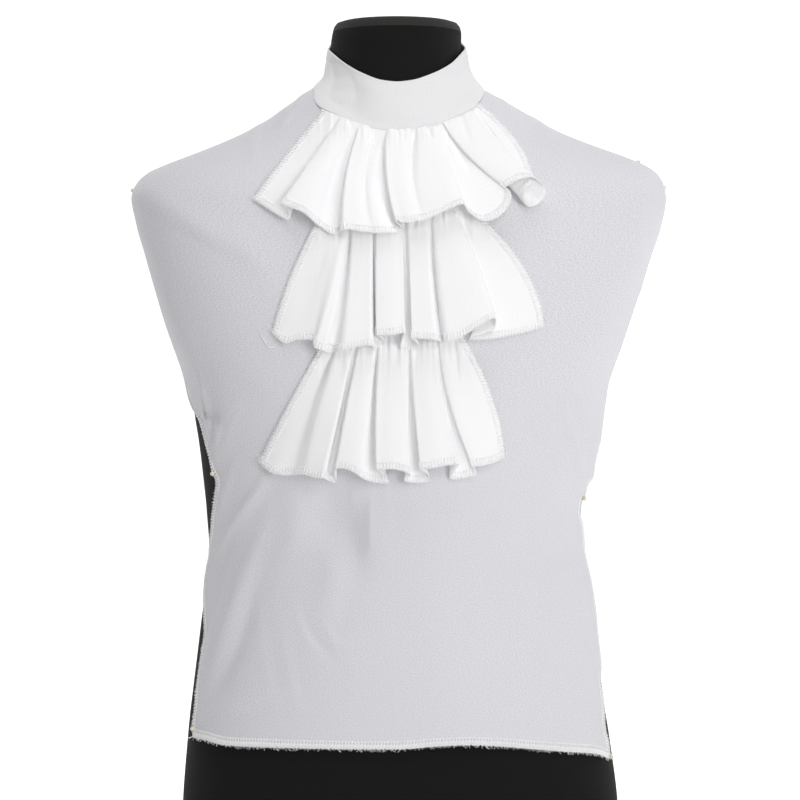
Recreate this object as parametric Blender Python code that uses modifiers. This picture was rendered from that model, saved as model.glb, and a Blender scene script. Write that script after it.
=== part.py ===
"""Jabot shirt front worn on a limbless dress form.

A plain front panel lies over the chest and just past the shoulder ridges. A double
stand collar rises from its neckline, and three gathered ruffles hang one above the
other down its middle. The wearer faces -Y, the form stands on Z = 0, and every table
is in millimetres.
"""
import math

import bmesh
import bpy
import numpy as np

MM = 0.001

# Axis of the form, behind the middle of the whole part's depth
AXIS = np.array([0.0, 12.2, 0.0])

# Walls and clearances
PANEL_WALL = 1.2
COLLAR_WALL = 2.0
RUFFLE_WALL = 1.1
FORM_GAP = 2.7
SEAM_GAP = 0.4

# Collar
COLLAR_TOP_HALF_WIDTH = 61.5
COLLAR_TOP_CENTRE = -2.6
COLLAR_TOP_FRONT = 68.0
COLLAR_TOP_BACK = 74.0
COLLAR_HOLLOW = 1.4
COLLAR_OVERLAP = 16.0
COLLAR_RISE = 2.6

# Mesh steps
FORM_COLUMNS = 44
FORM_STEP = 16.0
PANEL_COLUMNS = 36
PANEL_ROWS = 30
COLLAR_COLUMNS = 48
COLLAR_ROWS = 3
FOLD_STEPS = 2
RUFFLE_ROWS = 8

# Sections of the form, base to neck cap: height, centre, half width, front depth,
# back depth, squareness
FORM_SECTIONS = (
    (0.0, 0.4, 184.9, 104.0, 110.0, 2.50),
    (3.5, 0.4, 188.4, 108.0, 114.0, 2.50),
    (13.1, 0.4, 190.1, 110.0, 116.0, 2.50),
    (56.6, 0.2, 188.6, 111.0, 118.0, 2.50),
    (108.8, -1.1, 183.4, 111.5, 116.0, 2.50),
    (143.6, -2.0, 179.0, 110.5, 112.0, 2.45),
    (186.2, -2.0, 173.8, 108.5, 105.0, 2.40),
    (221.9, -2.0, 169.4, 106.0, 98.0, 2.40),
    (248.0, -2.8, 166.0, 104.0, 94.0, 2.40),
    (277.6, -4.5, 161.1, 103.0, 91.0, 2.40),
    (308.9, -5.4, 162.5, 105.0, 92.0, 2.40),
    (335.0, -3.9, 166.6, 108.0, 95.0, 2.45),
    (371.5, -2.0, 172.9, 112.5, 101.0, 2.50),
    (393.3, -2.6, 175.7, 115.0, 105.0, 2.60),
    (417.7, -2.6, 179.2, 117.0, 109.0, 2.75),
    (456.8, -2.0, 192.1, 118.0, 115.0, 2.90),
    (496.0, -1.5, 204.7, 116.0, 118.0, 2.95),
    (530.8, -1.3, 215.8, 112.0, 118.0, 2.95),
    (556.9, -0.9, 224.0, 107.0, 116.0, 2.95),
    (578.6, -0.7, 227.7, 102.0, 113.0, 2.85),
    (589.9, 0.4, 224.9, 98.0, 111.0, 2.70),
    (597.7, 1.7, 219.2, 95.0, 109.0, 2.50),
    (604.7, 4.1, 207.3, 92.0, 107.0, 2.30),
    (611.7, 4.8, 190.1, 89.0, 105.0, 2.20),
    (622.4, 3.5, 161.8, 84.0, 101.0, 2.10),
    (634.5, 2.2, 133.5, 79.0, 95.0, 2.05),
    (645.0, 1.7, 114.8, 74.0, 89.0, 2.00),
    (653.7, 0.4, 101.4, 70.0, 84.0, 2.00),
    (661.5, -0.9, 88.7, 67.0, 79.0, 2.00),
    (667.8, -1.3, 77.9, 64.5, 76.0, 2.00),
    (674.3, -2.6, 68.7, 63.0, 73.0, 2.00),
    (683.0, -3.0, 60.5, 61.5, 70.0, 2.05),
    (700.4, -3.0, 57.0, 60.0, 66.0, 2.05),
    (716.2, -3.3, 56.3, 60.0, 65.0, 2.05),
    (723.9, -2.6, 54.8, 58.5, 63.5, 2.05),
    (728.2, -2.6, 52.6, 56.5, 61.5, 2.05),
    (731.2, -2.6, 49.6, 53.0, 58.0, 2.05),
    (732.5, -2.6, 45.2, 48.0, 53.0, 2.05),
)

# Side edges of the panel: height, left angle, right angle, in degrees from the front
PANEL_EDGES = (
    (92, -63.0, 67.0),
    (109, -63.5, 66.8),
    (123, -64.2, 65.5),
    (147, -65.8, 67.2),
    (163, -66.0, 66.5),
    (182, -66.0, 70.5),
    (203, -64.5, 73.0),
    (228, -63.8, 75.0),
    (255, -70.0, 75.0),
    (272, -70.0, 74.0),
    (285, -68.0, 72.2),
    (297, -64.8, 69.8),
    (313, -62.2, 68.2),
    (327, -59.8, 64.5),
    (341, -57.8, 64.5),
    (354, -60.0, 66.2),
    (372, -62.5, 73.0),
    (392, -64.2, 79.0),
    (405, -73.0, 84.0),
    (417, -81.0, 88.0),
    (439, -88.0, 89.0),
    (490, -89.0, 90.0),
    (555, -90.0, 90.5),
    (574, -93.0, 93.0),
    (587, -96.0, 96.0),
    (600, -97.0, 97.0),
    (674, -97.0, 97.0),
)

# Neckline seam round the form: angle, height
NECKLINE = (
    (-180, 699.1),
    (-135, 690.8),
    (-97, 678.8),
    (-85, 674.3),
    (-39, 651.6),
    (-32, 647.0),
    (-26, 642.9),
    (-19, 637.8),
    (-11, 633.1),
    (-5, 631.7),
    (3, 633.0),
    (8, 635.0),
    (14, 638.0),
    (22, 643.3),
    (31, 649.3),
    (41, 655.7),
    (85, 673.4),
    (97, 677.0),
    (135, 689.9),
    (180, 699.1),
)

# Top edge of the collar: angle, height
COLLAR_EDGE = (
    (-180, 738.6),
    (-135, 731.6),
    (-90, 710.8),
    (-70, 703.9),
    (-50, 693.8),
    (-30, 683.3),
    (-12, 676.2),
    (0, 674.8),
    (12, 676.2),
    (30, 682.5),
    (50, 692.1),
    (70, 703.9),
    (90, 711.7),
    (135, 731.6),
    (180, 738.6),
)

# Hem of the panel: angle, height
HEM = (
    (-97, 117.1),
    (-62, 117.1),
    (-56, 116.6),
    (-46, 113.9),
    (-36, 114.2),
    (-27, 114.4),
    (-14, 114.4),
    (0, 114.6),
    (10, 116.9),
    (17, 117.5),
    (24, 116.3),
    (36, 112.1),
    (45, 108.8),
    (54, 105.9),
    (61, 102.3),
    (66, 98.6),
    (97, 98.6),
)

# How far the hanging panel stands off the front of the form: height, gap
STAND_OFF = (
    (92, 4.0),
    (140, 5.5),
    (200, 7.0),
    (270, 6.5),
    (340, 3.5),
    (390, 1.0),
    (430, 0.0),
    (700, 0.0),
)

# Soft creases of the panel: start x, start z, end x, end z, half width, height
CREASES = (
    (-167, 189, -148, 276, 7, 2.6),
    (-148, 276, -125, 331, 9, 2.6),
    (-155, 338, -115, 371, 9, 2.0),
    (-156, 321, -142, 238, 6, -1.2),
    (-169, 131, -115, 163, 10, 2.0),
    (-58, 321, -52, 138, 13, 2.6),
    (-23, 321, -28, 123, 12, 1.6),
    (-90, 238, -95, 120, 12, 1.8),
    (33, 321, 43, 120, 14, 1.6),
    (100, 321, 93, 117, 15, 1.8),
    (140, 284, 146, 155, 9, 2.2),
    (138, 392, 152, 328, 6, 2.0),
    (123, 380, 151, 321, 9, 1.5),
    (152, 317, 130, 246, 7, 1.6),
    (170, 117, 133, 163, 9, 1.8),
    (-85, 652, -116, 598, 6, 1.8),
    (-97, 637, -146, 567, 9, 1.8),
    (90, 648, 100, 580, 7, 1.8),
    (105, 640, 133, 563, 9, 1.6),
    (-200, 546, -125, 463, 16, 1.8),
    (200, 546, 133, 463, 16, 1.8),
    (-166, 421, -108, 463, 12, 1.5),
)

# Gathering seam of each ruffle: x, height
SEAM_TOP = (
    (-69.5, 652.8),
    (-65.5, 649.3),
    (-49.9, 641.9),
    (-38.9, 637.6),
    (-24.5, 633.2),
    (-9.3, 631.9),
    (8.5, 633.2),
    (21.1, 635.0),
    (33.8, 638.0),
    (46.5, 643.7),
    (55.9, 648.0),
    (67.8, 655.4),
)
SEAM_MIDDLE = (
    (-68.3, 558.7),
    (-50.0, 562.1),
    (0.0, 563.8),
    (50.9, 564.7),
    (61.7, 562.9),
)
SEAM_BOTTOM = (
    (-68.1, 450.3),
    (-49.8, 454.4),
    (0.0, 456.1),
    (41.5, 456.9),
    (59.8, 456.1),
)

# Fold lines of each ruffle, left to right along the cloth: x and lift at the seam,
# x and lift half-way down, x, height and lift at the hem. Lift is off the panel.
FOLDS_TOP = (
    (-65.2, 1.0, -96.6, 3.0, -122.9, 573.0, 5.0),
    (-61.0, 1.6, -87.3, 4.0, -108.1, 563.8, 6.5),
    (-55.0, 0.8, -76.4, 3.0, -91.5, 556.9, 3.5),
    (-52.0, 3.0, -76.3, 9.0, -98.3, 568.9, 15.0),
    (-47.4, 3.4, -65.3, 11.0, -83.6, 562.4, 17.0),
    (-42.3, 2.4, -56.9, 9.0, -69.6, 552.9, 14.0),
    (-36.8, 0.8, -51.9, 4.0, -58.1, 543.1, 9.5),
    (-33.8, 2.8, -43.5, 9.5, -47.2, 547.0, 16.0),
    (-27.1, 2.8, -35.1, 10.5, -36.4, 546.1, 17.5),
    (-19.4, 0.8, -26.8, 6.5, -23.2, 544.6, 14.0),
    (-15.2, 2.2, -17.6, 9.0, -9.9, 543.7, 15.5),
    (-12.3, 0.8, -9.2, 5.0, 3.3, 544.0, 9.5),
    (-10.1, 3.2, -11.3, 13.0, -3.7, 553.8, 20.0),
    (-0.8, 3.4, 0.0, 15.0, 10.7, 552.9, 21.0),
    (9.3, 1.0, 9.2, 8.0, 23.2, 556.1, 17.5),
    (18.6, 3.0, 25.1, 13.0, 38.0, 561.8, 20.0),
    (30.4, 3.0, 41.0, 15.0, 50.1, 566.4, 21.0),
    (34.7, 0.8, 48.6, 4.5, 58.1, 560.7, 9.0),
    (38.9, 2.2, 62.0, 6.0, 73.0, 554.8, 10.0),
    (42.3, 1.4, 72.1, 6.0, 88.0, 561.6, 8.5),
    (44.8, 0.8, 74.8, 4.5, 93.0, 578.1, 6.0),
    (48.2, 3.4, 67.1, 12.5, 89.0, 581.7, 16.0),
    (55.9, 3.6, 79.7, 13.5, 100.7, 587.2, 17.5),
    (62.7, 3.0, 91.6, 12.0, 112.5, 589.1, 15.0),
    (66.1, 2.2, 98.3, 8.0, 121.7, 580.5, 9.0),
    (67.8, 0.8, 96.6, 3.5, 109.1, 567.9, 3.5),
)
FOLDS_MIDDLE = (
    (-65.0, 0.8, -91.4, 2.5, -106.1, 460.2, 4.0),
    (-60.8, 1.8, -80.6, 4.5, -93.6, 452.6, 6.5),
    (-55.0, 0.9, -66.4, 6.0, -82.8, 455.1, 8.0),
    (-45.8, 2.4, -49.8, 9.5, -70.2, 455.4, 14.0),
    (-42.9, 0.8, -46.1, 3.5, -63.8, 446.9, 6.5),
    (-40.8, 1.2, -42.4, 5.0, -54.6, 445.2, 8.0),
    (-37.5, 2.4, -36.5, 10.0, -40.5, 448.4, 14.0),
    (-24.2, 2.8, -23.6, 10.5, -23.1, 448.4, 15.0),
    (-21.7, 0.8, -21.2, 3.0, -14.1, 451.8, 6.0),
    (-19.6, 2.6, -19.5, 11.0, -19.4, 459.1, 17.0),
    (-8.3, 3.0, -7.9, 12.5, -8.2, 459.4, 19.0),
    (2.9, 2.6, 3.7, 11.0, 3.7, 459.9, 17.0),
    (4.6, 0.8, 2.9, 6.0, -2.5, 449.3, 8.5),
    (5.8, 0.9, 5.8, 3.5, 13.3, 447.3, 6.0),
    (7.5, 2.6, 7.5, 10.5, 9.5, 455.8, 15.0),
    (16.7, 2.8, 17.4, 12.0, 20.6, 455.3, 17.0),
    (25.8, 0.9, 28.2, 7.0, 31.8, 454.2, 12.0),
    (31.7, 2.6, 39.0, 11.0, 43.7, 455.8, 17.0),
    (38.3, 3.0, 50.6, 13.0, 59.3, 463.9, 20.0),
    (43.3, 2.8, 63.8, 13.0, 77.9, 473.4, 20.0),
    (45.4, 1.4, 65.2, 8.0, 67.0, 461.7, 11.0),
    (47.1, 0.8, 68.2, 3.0, 58.9, 456.0, 4.5),
    (50.9, 2.2, 78.1, 3.5, 80.4, 456.4, 5.0),
    (55.0, 1.2, 92.2, 4.0, 101.1, 460.9, 6.0),
    (58.3, 0.8, 103.9, 3.5, 119.8, 466.8, 5.0),
)
FOLDS_BOTTOM = (
    (-61.5, 0.8, -92.2, 3.0, -117.5, 353.1, 5.0),
    (-59.0, 1.8, -84.7, 5.0, -109.5, 345.7, 7.0),
    (-56.5, 2.0, -78.0, 6.0, -95.4, 342.4, 8.0),
    (-52.3, 0.8, -68.9, 3.5, -82.1, 342.8, 8.5),
    (-44.0, 2.4, -56.4, 9.0, -72.0, 342.5, 12.5),
    (-37.4, 2.8, -46.8, 10.5, -63.3, 341.7, 14.0),
    (-34.9, 0.8, -44.4, 2.5, -54.0, 335.6, 4.0),
    (-32.4, 2.6, -41.0, 10.0, -55.5, 345.0, 13.5),
    (-26.6, 2.8, -34.4, 11.0, -40.5, 347.5, 15.0),
    (-22.4, 1.2, -28.2, 7.0, -27.4, 339.9, 9.5),
    (-19.9, 0.7, -18.7, 3.0, -7.5, 336.9, 4.5),
    (-18.3, 2.6, -20.3, 11.0, -19.8, 348.0, 16.0),
    (-6.6, 3.0, -7.5, 12.5, -5.8, 346.8, 18.0),
    (5.0, 2.6, 7.0, 11.0, 8.7, 343.4, 15.5),
    (6.6, 0.8, 7.9, 4.5, 5.8, 337.0, 7.0),
    (7.9, 0.8, 9.6, 2.5, 22.4, 337.7, 4.0),
    (9.5, 2.4, 9.9, 10.0, 18.2, 347.9, 13.5),
    (18.3, 2.8, 22.4, 12.0, 33.1, 350.4, 16.0),
    (27.4, 2.6, 36.5, 11.5, 48.4, 352.5, 16.0),
    (29.9, 0.8, 38.2, 4.5, 41.5, 342.3, 6.0),
    (32.4, 0.9, 41.1, 2.8, 59.8, 344.0, 4.0),
    (36.5, 2.4, 44.8, 8.0, 59.7, 349.1, 10.0),
    (44.0, 1.0, 56.4, 7.0, 69.6, 351.1, 9.0),
    (50.7, 2.2, 67.2, 6.0, 79.6, 354.0, 7.0),
    (54.8, 0.8, 76.8, 3.5, 86.7, 358.1, 5.0),
)


# Curves through the tables
def smooth(xs, ys, x):
    """Cubic curve through the points, flat beyond both ends, with no overshoot."""
    xs = np.asarray(xs, float)
    ys = np.asarray(ys, float)
    x = np.clip(x, xs[0], xs[-1])
    steps = np.diff(xs)
    slopes = np.diff(ys, axis=0) / steps.reshape((-1,) + (1,) * (ys.ndim - 1))
    tangents = np.zeros_like(ys)
    before, after = slopes[:-1], slopes[1:]
    same = before * after > 0
    total = np.where(same, before + after, 1.0)
    tangents[1:-1] = np.where(same, 2.0 * before * after / total, 0.0)
    tangents[0] = slopes[0]
    tangents[-1] = slopes[-1]
    k = np.clip(np.searchsorted(xs, x, side="right") - 1, 0, len(xs) - 2)
    h = steps[k]
    t = (x - xs[k]) / h
    if ys.ndim > 1:
        h = h[..., None]
        t = t[..., None]
    a = (1 + 2 * t) * (1 - t) ** 2
    b = t * (1 - t) ** 2
    c = t * t * (3 - 2 * t)
    d = t * t * (t - 1)
    return a * ys[k] + b * h * tangents[k] + c * ys[k + 1] + d * h * tangents[k + 1]


def lookup(table, value):
    """Value of a two-column table."""
    rows = np.array(table)
    return smooth(rows[:, 0], rows[:, 1], value)


# Surface of the form
SECTION_ROWS = np.array(FORM_SECTIONS)


def sections(z):
    """Centre, half width, front depth, back depth and squareness at each height."""
    values = smooth(SECTION_ROWS[:, 0], SECTION_ROWS[:, 1:], np.asarray(z, float))
    return [values[..., i] for i in range(5)]


def on_form(angle, z):
    """Point of the form at an angle from the front, in degrees, and a height."""
    centre, half, front, back, square = sections(z)
    s = np.sin(np.radians(angle))
    c = np.cos(np.radians(angle))
    reach = (np.abs(s) ** square + np.abs(c) ** square) ** (-1.0 / square)
    depth = np.where(c > 0, front, back)
    z = z + 0.0 * reach
    return np.stack([centre + half * reach * s, -depth * reach * c, z], axis=-1)


def off_form(angle, z, gap):
    """Point of the form moved out along its surface normal."""
    across = on_form(angle + 0.5, z) - on_form(angle - 0.5, z)
    up = on_form(angle, z + 0.5) - on_form(angle, z - 0.5)
    normal = np.cross(across, up)
    normal /= np.linalg.norm(normal, axis=-1, keepdims=True)
    return on_form(angle, z) + normal * np.asarray(gap)[..., None]


def front_of_form(x, z):
    """Depth of the front of the form at a place in the front view."""
    centre, half, front, _, square = sections(z)
    part = np.clip(np.abs(x - centre) / half, 0, 0.98)
    return -front * (1 - part ** square) ** (1 / square)


def panel_gap(x, z):
    """How far the inside of the panel stands off the form."""
    half = sections(z)[1]
    middle = np.clip(1 - (x / half) ** 2, 0, 1)
    gap = FORM_GAP + lookup(STAND_OFF, z) * middle
    for x0, z0, x1, z1, width, height in CREASES:
        run = np.array([x1 - x0, z1 - z0])
        length = np.hypot(*run)
        along = ((x - x0) * run[0] + (z - z0) * run[1]) / length
        across = ((x - x0) * run[1] - (z - z0) * run[0]) / length
        t = np.clip(along / length, -0.25, 1.25)
        fade = np.clip((t + 0.25) * (1.25 - t) / 0.5625, 0, 1) ** 2
        gap = gap + height * fade * np.exp(-(across / width) ** 2)
    return np.maximum(gap, FORM_GAP)


# Objects
def new_collection(name):
    collection = bpy.data.collections.new(name)
    bpy.context.scene.collection.children.link(collection)
    return collection


def new_material(name, colour, roughness):
    material = bpy.data.materials.new(name)
    material.use_nodes = True
    shader = material.node_tree.nodes["Principled BSDF"]
    shader.inputs["Base Color"].default_value = (*colour, 1.0)
    shader.inputs["Roughness"].default_value = roughness
    return material


def add_object(name, bm, material, collection):
    mesh = bpy.data.meshes.new(name)
    bm.to_mesh(mesh)
    bm.free()
    for face in mesh.polygons:
        face.use_smooth = True
    mesh.materials.append(material)
    obj = bpy.data.objects.new(name, mesh)
    collection.objects.link(obj)
    return obj


def add_sheet(name, points, wall, material, collection):
    """Cloth sheet through a grid of points, thickened outwards."""
    rows, columns = points.shape[0] - 1, points.shape[1] - 1
    bm = bmesh.new()
    bmesh.ops.create_grid(bm, x_segments=columns, y_segments=rows, size=0.5)
    for vert in bm.verts:
        i = round((vert.co.y + 0.5) * rows)
        j = round((vert.co.x + 0.5) * columns)
        vert.co = (points[i, j] + AXIS) * MM
    sheet = add_object(name, bm, material, collection)
    solidify = sheet.modifiers.new("Wall", "SOLIDIFY")
    solidify.thickness = wall * MM
    solidify.offset = 1.0
    return sheet


# Dress form
def form_heights():
    """Ring heights: every section, and steps between those far apart."""
    heights = [SECTION_ROWS[0, 0]]
    for low, high in zip(SECTION_ROWS, SECTION_ROWS[1:]):
        rise = high[0] - low[0]
        run = high[2] - low[2]
        steps = math.ceil(math.hypot(rise, run) / FORM_STEP)
        heights += list(np.linspace(low[0], high[0], steps + 1)[1:])
    return heights


def build_form(material, collection):
    bm = bmesh.new()
    angles = np.arange(FORM_COLUMNS) * 360.0 / FORM_COLUMNS
    rings = []
    for z in form_heights():
        ring = on_form(angles, z) + AXIS
        rings.append([bm.verts.new(point * MM) for point in ring])
    for low, high in zip(rings, rings[1:]):
        for k in range(FORM_COLUMNS):
            n = (k + 1) % FORM_COLUMNS
            bm.faces.new((low[k], low[n], high[n], high[k]))
    bm.faces.new(rings[0][::-1])
    bm.faces.new(rings[-1])
    return add_object("dress_form", bm, material, collection)


# Front panel
def panel_points(rows, columns):
    """Grid from hem to neckline, with closer rows over the shoulders."""
    v = np.linspace(0, 1, rows + 1)[:, None]
    v = 1 - (1 - v) ** 1.5
    u = np.linspace(0, 1, columns + 1)[None, :]
    edges = np.array(PANEL_EDGES)
    side = lookup(HEM, -90.0) * (1 - v) + lookup(NECKLINE, -90.0) * v
    left = smooth(edges[:, 0], edges[:, 1], side)
    side = lookup(HEM, 90.0) * (1 - v) + lookup(NECKLINE, 90.0) * v
    right = smooth(edges[:, 0], edges[:, 2], side)
    angle = left + (right - left) * u
    z = lookup(HEM, angle) * (1 - v) + lookup(NECKLINE, angle) * v
    flat = on_form(angle, z)
    return off_form(angle, z, panel_gap(flat[..., 0], z))


# Collar
def collar_points(rows, columns):
    """Conical band from the neckline up, its ends lapped at the back."""
    angle = np.linspace(-180.0, 180.0 + COLLAR_OVERLAP, columns + 1)[None, :]
    v = np.linspace(0, 1, rows + 1)[:, None]
    lap = np.clip((angle - 140.0) / 35.0, 0, 1)
    lap = (COLLAR_WALL + 0.6) * lap * lap * (3 - 2 * lap)
    turn = (angle + 180.0) % 360.0 - 180.0
    s = np.sin(np.radians(turn))
    c = np.cos(np.radians(turn))
    foot_height = lookup(NECKLINE, turn) + SEAM_GAP + COLLAR_RISE * s * s
    foot = off_form(turn, foot_height, FORM_GAP + lap)
    depth = np.where(c > 0, COLLAR_TOP_FRONT, COLLAR_TOP_BACK) + lap
    rim_x = COLLAR_TOP_CENTRE + (COLLAR_TOP_HALF_WIDTH + lap) * s
    rim = np.stack([rim_x, -depth * c, lookup(COLLAR_EDGE, turn)], axis=-1)
    v = v[..., None]
    points = foot * (1 - v) + rim * v
    inward = -COLLAR_HOLLOW * 4 * v * (1 - v)
    points[..., 0] += inward[..., 0] * s
    points[..., 1] -= inward[..., 0] * c
    return points


# Ruffles
def through(points, steps):
    """Rounded curve through points, with several samples to each."""
    count = len(points)
    weights = np.eye(count) * 0.75
    inner = np.arange(1, count - 1)
    weights[inner, inner - 1] = 0.125
    weights[inner, inner + 1] = 0.125
    weights[0, 0] = weights[-1, -1] = 1.0
    controls = np.linalg.solve(weights, points)
    samples = [controls[0]]
    for k in range(1, count - 1):
        first = controls[0] if k == 1 else (controls[k - 1] + controls[k]) / 2
        last = controls[-1] if k == count - 2 else (controls[k] + controls[k + 1]) / 2
        start = 0 if k == 1 else 1
        for i in range(start, steps + 1):
            t = i / steps
            samples.append(first * (1 - t) ** 2 + controls[k] * 2 * t * (1 - t) + last * t * t)
    return np.array(samples[1:])


def ruffle_points(seam, folds, rows, steps):
    """Sheet that hangs from its seam over the panel in the folds of the table."""
    table = np.array(folds)
    seam_height = lookup(seam, table[:, 0])
    grid = []
    for v in np.linspace(1, 0, rows + 1):
        first, middle, last = (1 - v) * (1 - 2 * v), 4 * v * (1 - v), v * (2 * v - 1)
        x = first * table[:, 0] + middle * table[:, 2] + last * table[:, 4]
        lift = first * table[:, 1] + middle * table[:, 3] + last * table[:, 6]
        z = seam_height * (1 - v) + table[:, 5] * v
        grid.append(through(np.stack([x, lift, z], axis=-1), steps))
    grid = np.array(grid)
    x, lift, z = grid[..., 0], grid[..., 1], grid[..., 2]
    across = front_of_form(x + 1, z) - front_of_form(x - 1, z)
    down = front_of_form(x, z + 1) - front_of_form(x, z - 1)
    slant = np.sqrt(1 + (across ** 2 + down ** 2) / 4)
    outside = (panel_gap(x, z) + PANEL_WALL) * slant + SEAM_GAP
    y = front_of_form(x, z) - outside - np.maximum(lift, 0)
    return np.stack([x, y, z], axis=-1)


# Build
for old in list(bpy.data.objects):
    bpy.data.objects.remove(old, do_unlink=True)

parts = new_collection("jabot_shirt_front")
form_cloth = new_material("form_jersey", (0.012, 0.012, 0.014), 0.9)
panel_cloth = new_material("panel_cotton", (0.60, 0.60, 0.64), 0.85)
white_cloth = new_material("white_cotton", (0.83, 0.83, 0.86), 0.8)

build_form(form_cloth, parts)
add_sheet(
    "front_panel",
    panel_points(PANEL_ROWS, PANEL_COLUMNS),
    PANEL_WALL,
    panel_cloth,
    parts,
)
add_sheet(
    "collar_band",
    collar_points(COLLAR_ROWS, COLLAR_COLUMNS),
    COLLAR_WALL,
    white_cloth,
    parts,
)
RUFFLES = (
    ("ruffle_top", SEAM_TOP, FOLDS_TOP),
    ("ruffle_middle", SEAM_MIDDLE, FOLDS_MIDDLE),
    ("ruffle_bottom", SEAM_BOTTOM, FOLDS_BOTTOM),
)
for name, seam, folds in RUFFLES:
    add_sheet(
        name,
        ruffle_points(seam, folds, RUFFLE_ROWS, FOLD_STEPS),
        RUFFLE_WALL,
        white_cloth,
        parts,
    )
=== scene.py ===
import math
import random

import bmesh
import bpy
import numpy as np
from mathutils import Matrix, Vector


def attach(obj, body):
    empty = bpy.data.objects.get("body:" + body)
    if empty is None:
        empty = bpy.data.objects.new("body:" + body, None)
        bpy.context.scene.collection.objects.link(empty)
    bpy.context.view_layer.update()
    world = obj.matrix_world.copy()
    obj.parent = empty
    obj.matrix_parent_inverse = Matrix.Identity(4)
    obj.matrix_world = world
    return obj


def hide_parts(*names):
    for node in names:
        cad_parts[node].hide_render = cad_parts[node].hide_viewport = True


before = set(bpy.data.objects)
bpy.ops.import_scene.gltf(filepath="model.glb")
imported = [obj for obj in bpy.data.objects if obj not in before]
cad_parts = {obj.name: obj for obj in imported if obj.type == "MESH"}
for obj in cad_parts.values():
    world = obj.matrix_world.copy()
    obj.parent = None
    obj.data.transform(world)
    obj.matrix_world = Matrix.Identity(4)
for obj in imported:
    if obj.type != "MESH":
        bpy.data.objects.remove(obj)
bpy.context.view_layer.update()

# Dress form
# The limbless form that the shirt front is shown on: a padded torso with a neck cap,
# covered in matte black jersey. It stands on its own flat base.
MM = 0.001
# the form's upright axis in the shared frame, in millimetres
AXIS = np.array([0.0, 12.2, 0.0])
FORM_COLUMNS = 144
FORM_STEP = 5.0
# height above which the form wears the lighter jersey, a painted highlight on the neck cap
PAINTED_HIGHLIGHT_HEIGHT = 722.5

# base to neck cap: height, centre, half width, front depth, back depth, squareness
FORM_SECTIONS = (
    (0.0, 0.4, 184.9, 104.0, 110.0, 2.50),
    (3.5, 0.4, 188.4, 108.0, 114.0, 2.50),
    (13.1, 0.4, 190.1, 110.0, 116.0, 2.50),
    (56.6, 0.2, 188.6, 111.0, 118.0, 2.50),
    (108.8, -1.1, 183.4, 111.5, 116.0, 2.50),
    (143.6, -2.0, 179.0, 110.5, 112.0, 2.45),
    (186.2, -2.0, 173.8, 108.5, 105.0, 2.40),
    (221.9, -2.0, 169.4, 106.0, 98.0, 2.40),
    (248.0, -2.8, 166.0, 104.0, 94.0, 2.40),
    (277.6, -4.5, 161.1, 103.0, 91.0, 2.40),
    (308.9, -5.4, 162.5, 105.0, 92.0, 2.40),
    (335.0, -3.9, 166.6, 108.0, 95.0, 2.45),
    (371.5, -2.0, 172.9, 112.5, 101.0, 2.50),
    (393.3, -2.6, 175.7, 115.0, 105.0, 2.60),
    (417.7, -2.6, 179.2, 117.0, 109.0, 2.75),
    (456.8, -2.0, 192.1, 118.0, 115.0, 2.90),
    (496.0, -1.5, 204.7, 116.0, 118.0, 2.95),
    (530.8, -1.3, 215.8, 112.0, 118.0, 2.95),
    (556.9, -0.9, 224.0, 107.0, 116.0, 2.95),
    (578.6, -0.7, 227.7, 102.0, 113.0, 2.85),
    (589.9, 0.4, 224.9, 98.0, 111.0, 2.70),
    (597.7, 1.7, 219.2, 95.0, 109.0, 2.50),
    (604.7, 4.1, 207.3, 92.0, 107.0, 2.30),
    (611.7, 4.8, 190.1, 89.0, 105.0, 2.20),
    (622.4, 3.5, 161.8, 84.0, 101.0, 2.10),
    (634.5, 2.2, 133.5, 79.0, 95.0, 2.05),
    (645.0, 1.7, 114.8, 74.0, 89.0, 2.00),
    (653.7, 0.4, 101.4, 70.0, 84.0, 2.00),
    (661.5, -0.9, 88.7, 67.0, 79.0, 2.00),
    (667.8, -1.3, 77.9, 64.5, 76.0, 2.00),
    (674.3, -2.6, 68.7, 63.0, 73.0, 2.00),
    (683.0, -3.0, 60.5, 61.5, 70.0, 2.05),
    (700.4, -3.0, 57.0, 60.0, 66.0, 2.05),
    (716.2, -3.3, 56.6, 60.0, 65.0, 2.05),
    (723.9, -2.6, 56.0, 59.2, 64.2, 2.05),
    (728.2, -2.6, 54.9, 58.0, 63.0, 2.05),
    (731.2, -2.6, 52.6, 55.6, 60.6, 2.05),
    (732.6, -2.6, 48.2, 51.0, 56.0, 2.05),
)


def smooth(xs, ys, x):
    """Cubic curve through the points, flat beyond both ends, with no overshoot."""
    xs = np.asarray(xs, float)
    ys = np.asarray(ys, float)
    x = np.clip(x, xs[0], xs[-1])
    steps = np.diff(xs)
    slopes = np.diff(ys, axis=0) / steps.reshape((-1,) + (1,) * (ys.ndim - 1))
    tangents = np.zeros_like(ys)
    before, after = slopes[:-1], slopes[1:]
    same = before * after > 0
    total = np.where(same, before + after, 1.0)
    tangents[1:-1] = np.where(same, 2.0 * before * after / total, 0.0)
    tangents[0] = slopes[0]
    tangents[-1] = slopes[-1]
    k = np.clip(np.searchsorted(xs, x, side="right") - 1, 0, len(xs) - 2)
    h = steps[k]
    t = (x - xs[k]) / h
    if ys.ndim > 1:
        h = h[..., None]
        t = t[..., None]
    a = (1 + 2 * t) * (1 - t) ** 2
    b = t * (1 - t) ** 2
    c = t * t * (3 - 2 * t)
    d = t * t * (t - 1)
    return a * ys[k] + b * h * tangents[k] + c * ys[k + 1] + d * h * tangents[k + 1]


def lookup(table, value):
    rows = np.array(table)
    return smooth(rows[:, 0], rows[:, 1], value)


SECTION_ROWS = np.array(FORM_SECTIONS)


def sections(z):
    values = smooth(SECTION_ROWS[:, 0], SECTION_ROWS[:, 1:], np.asarray(z, float))
    return [values[..., i] for i in range(5)]


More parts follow.
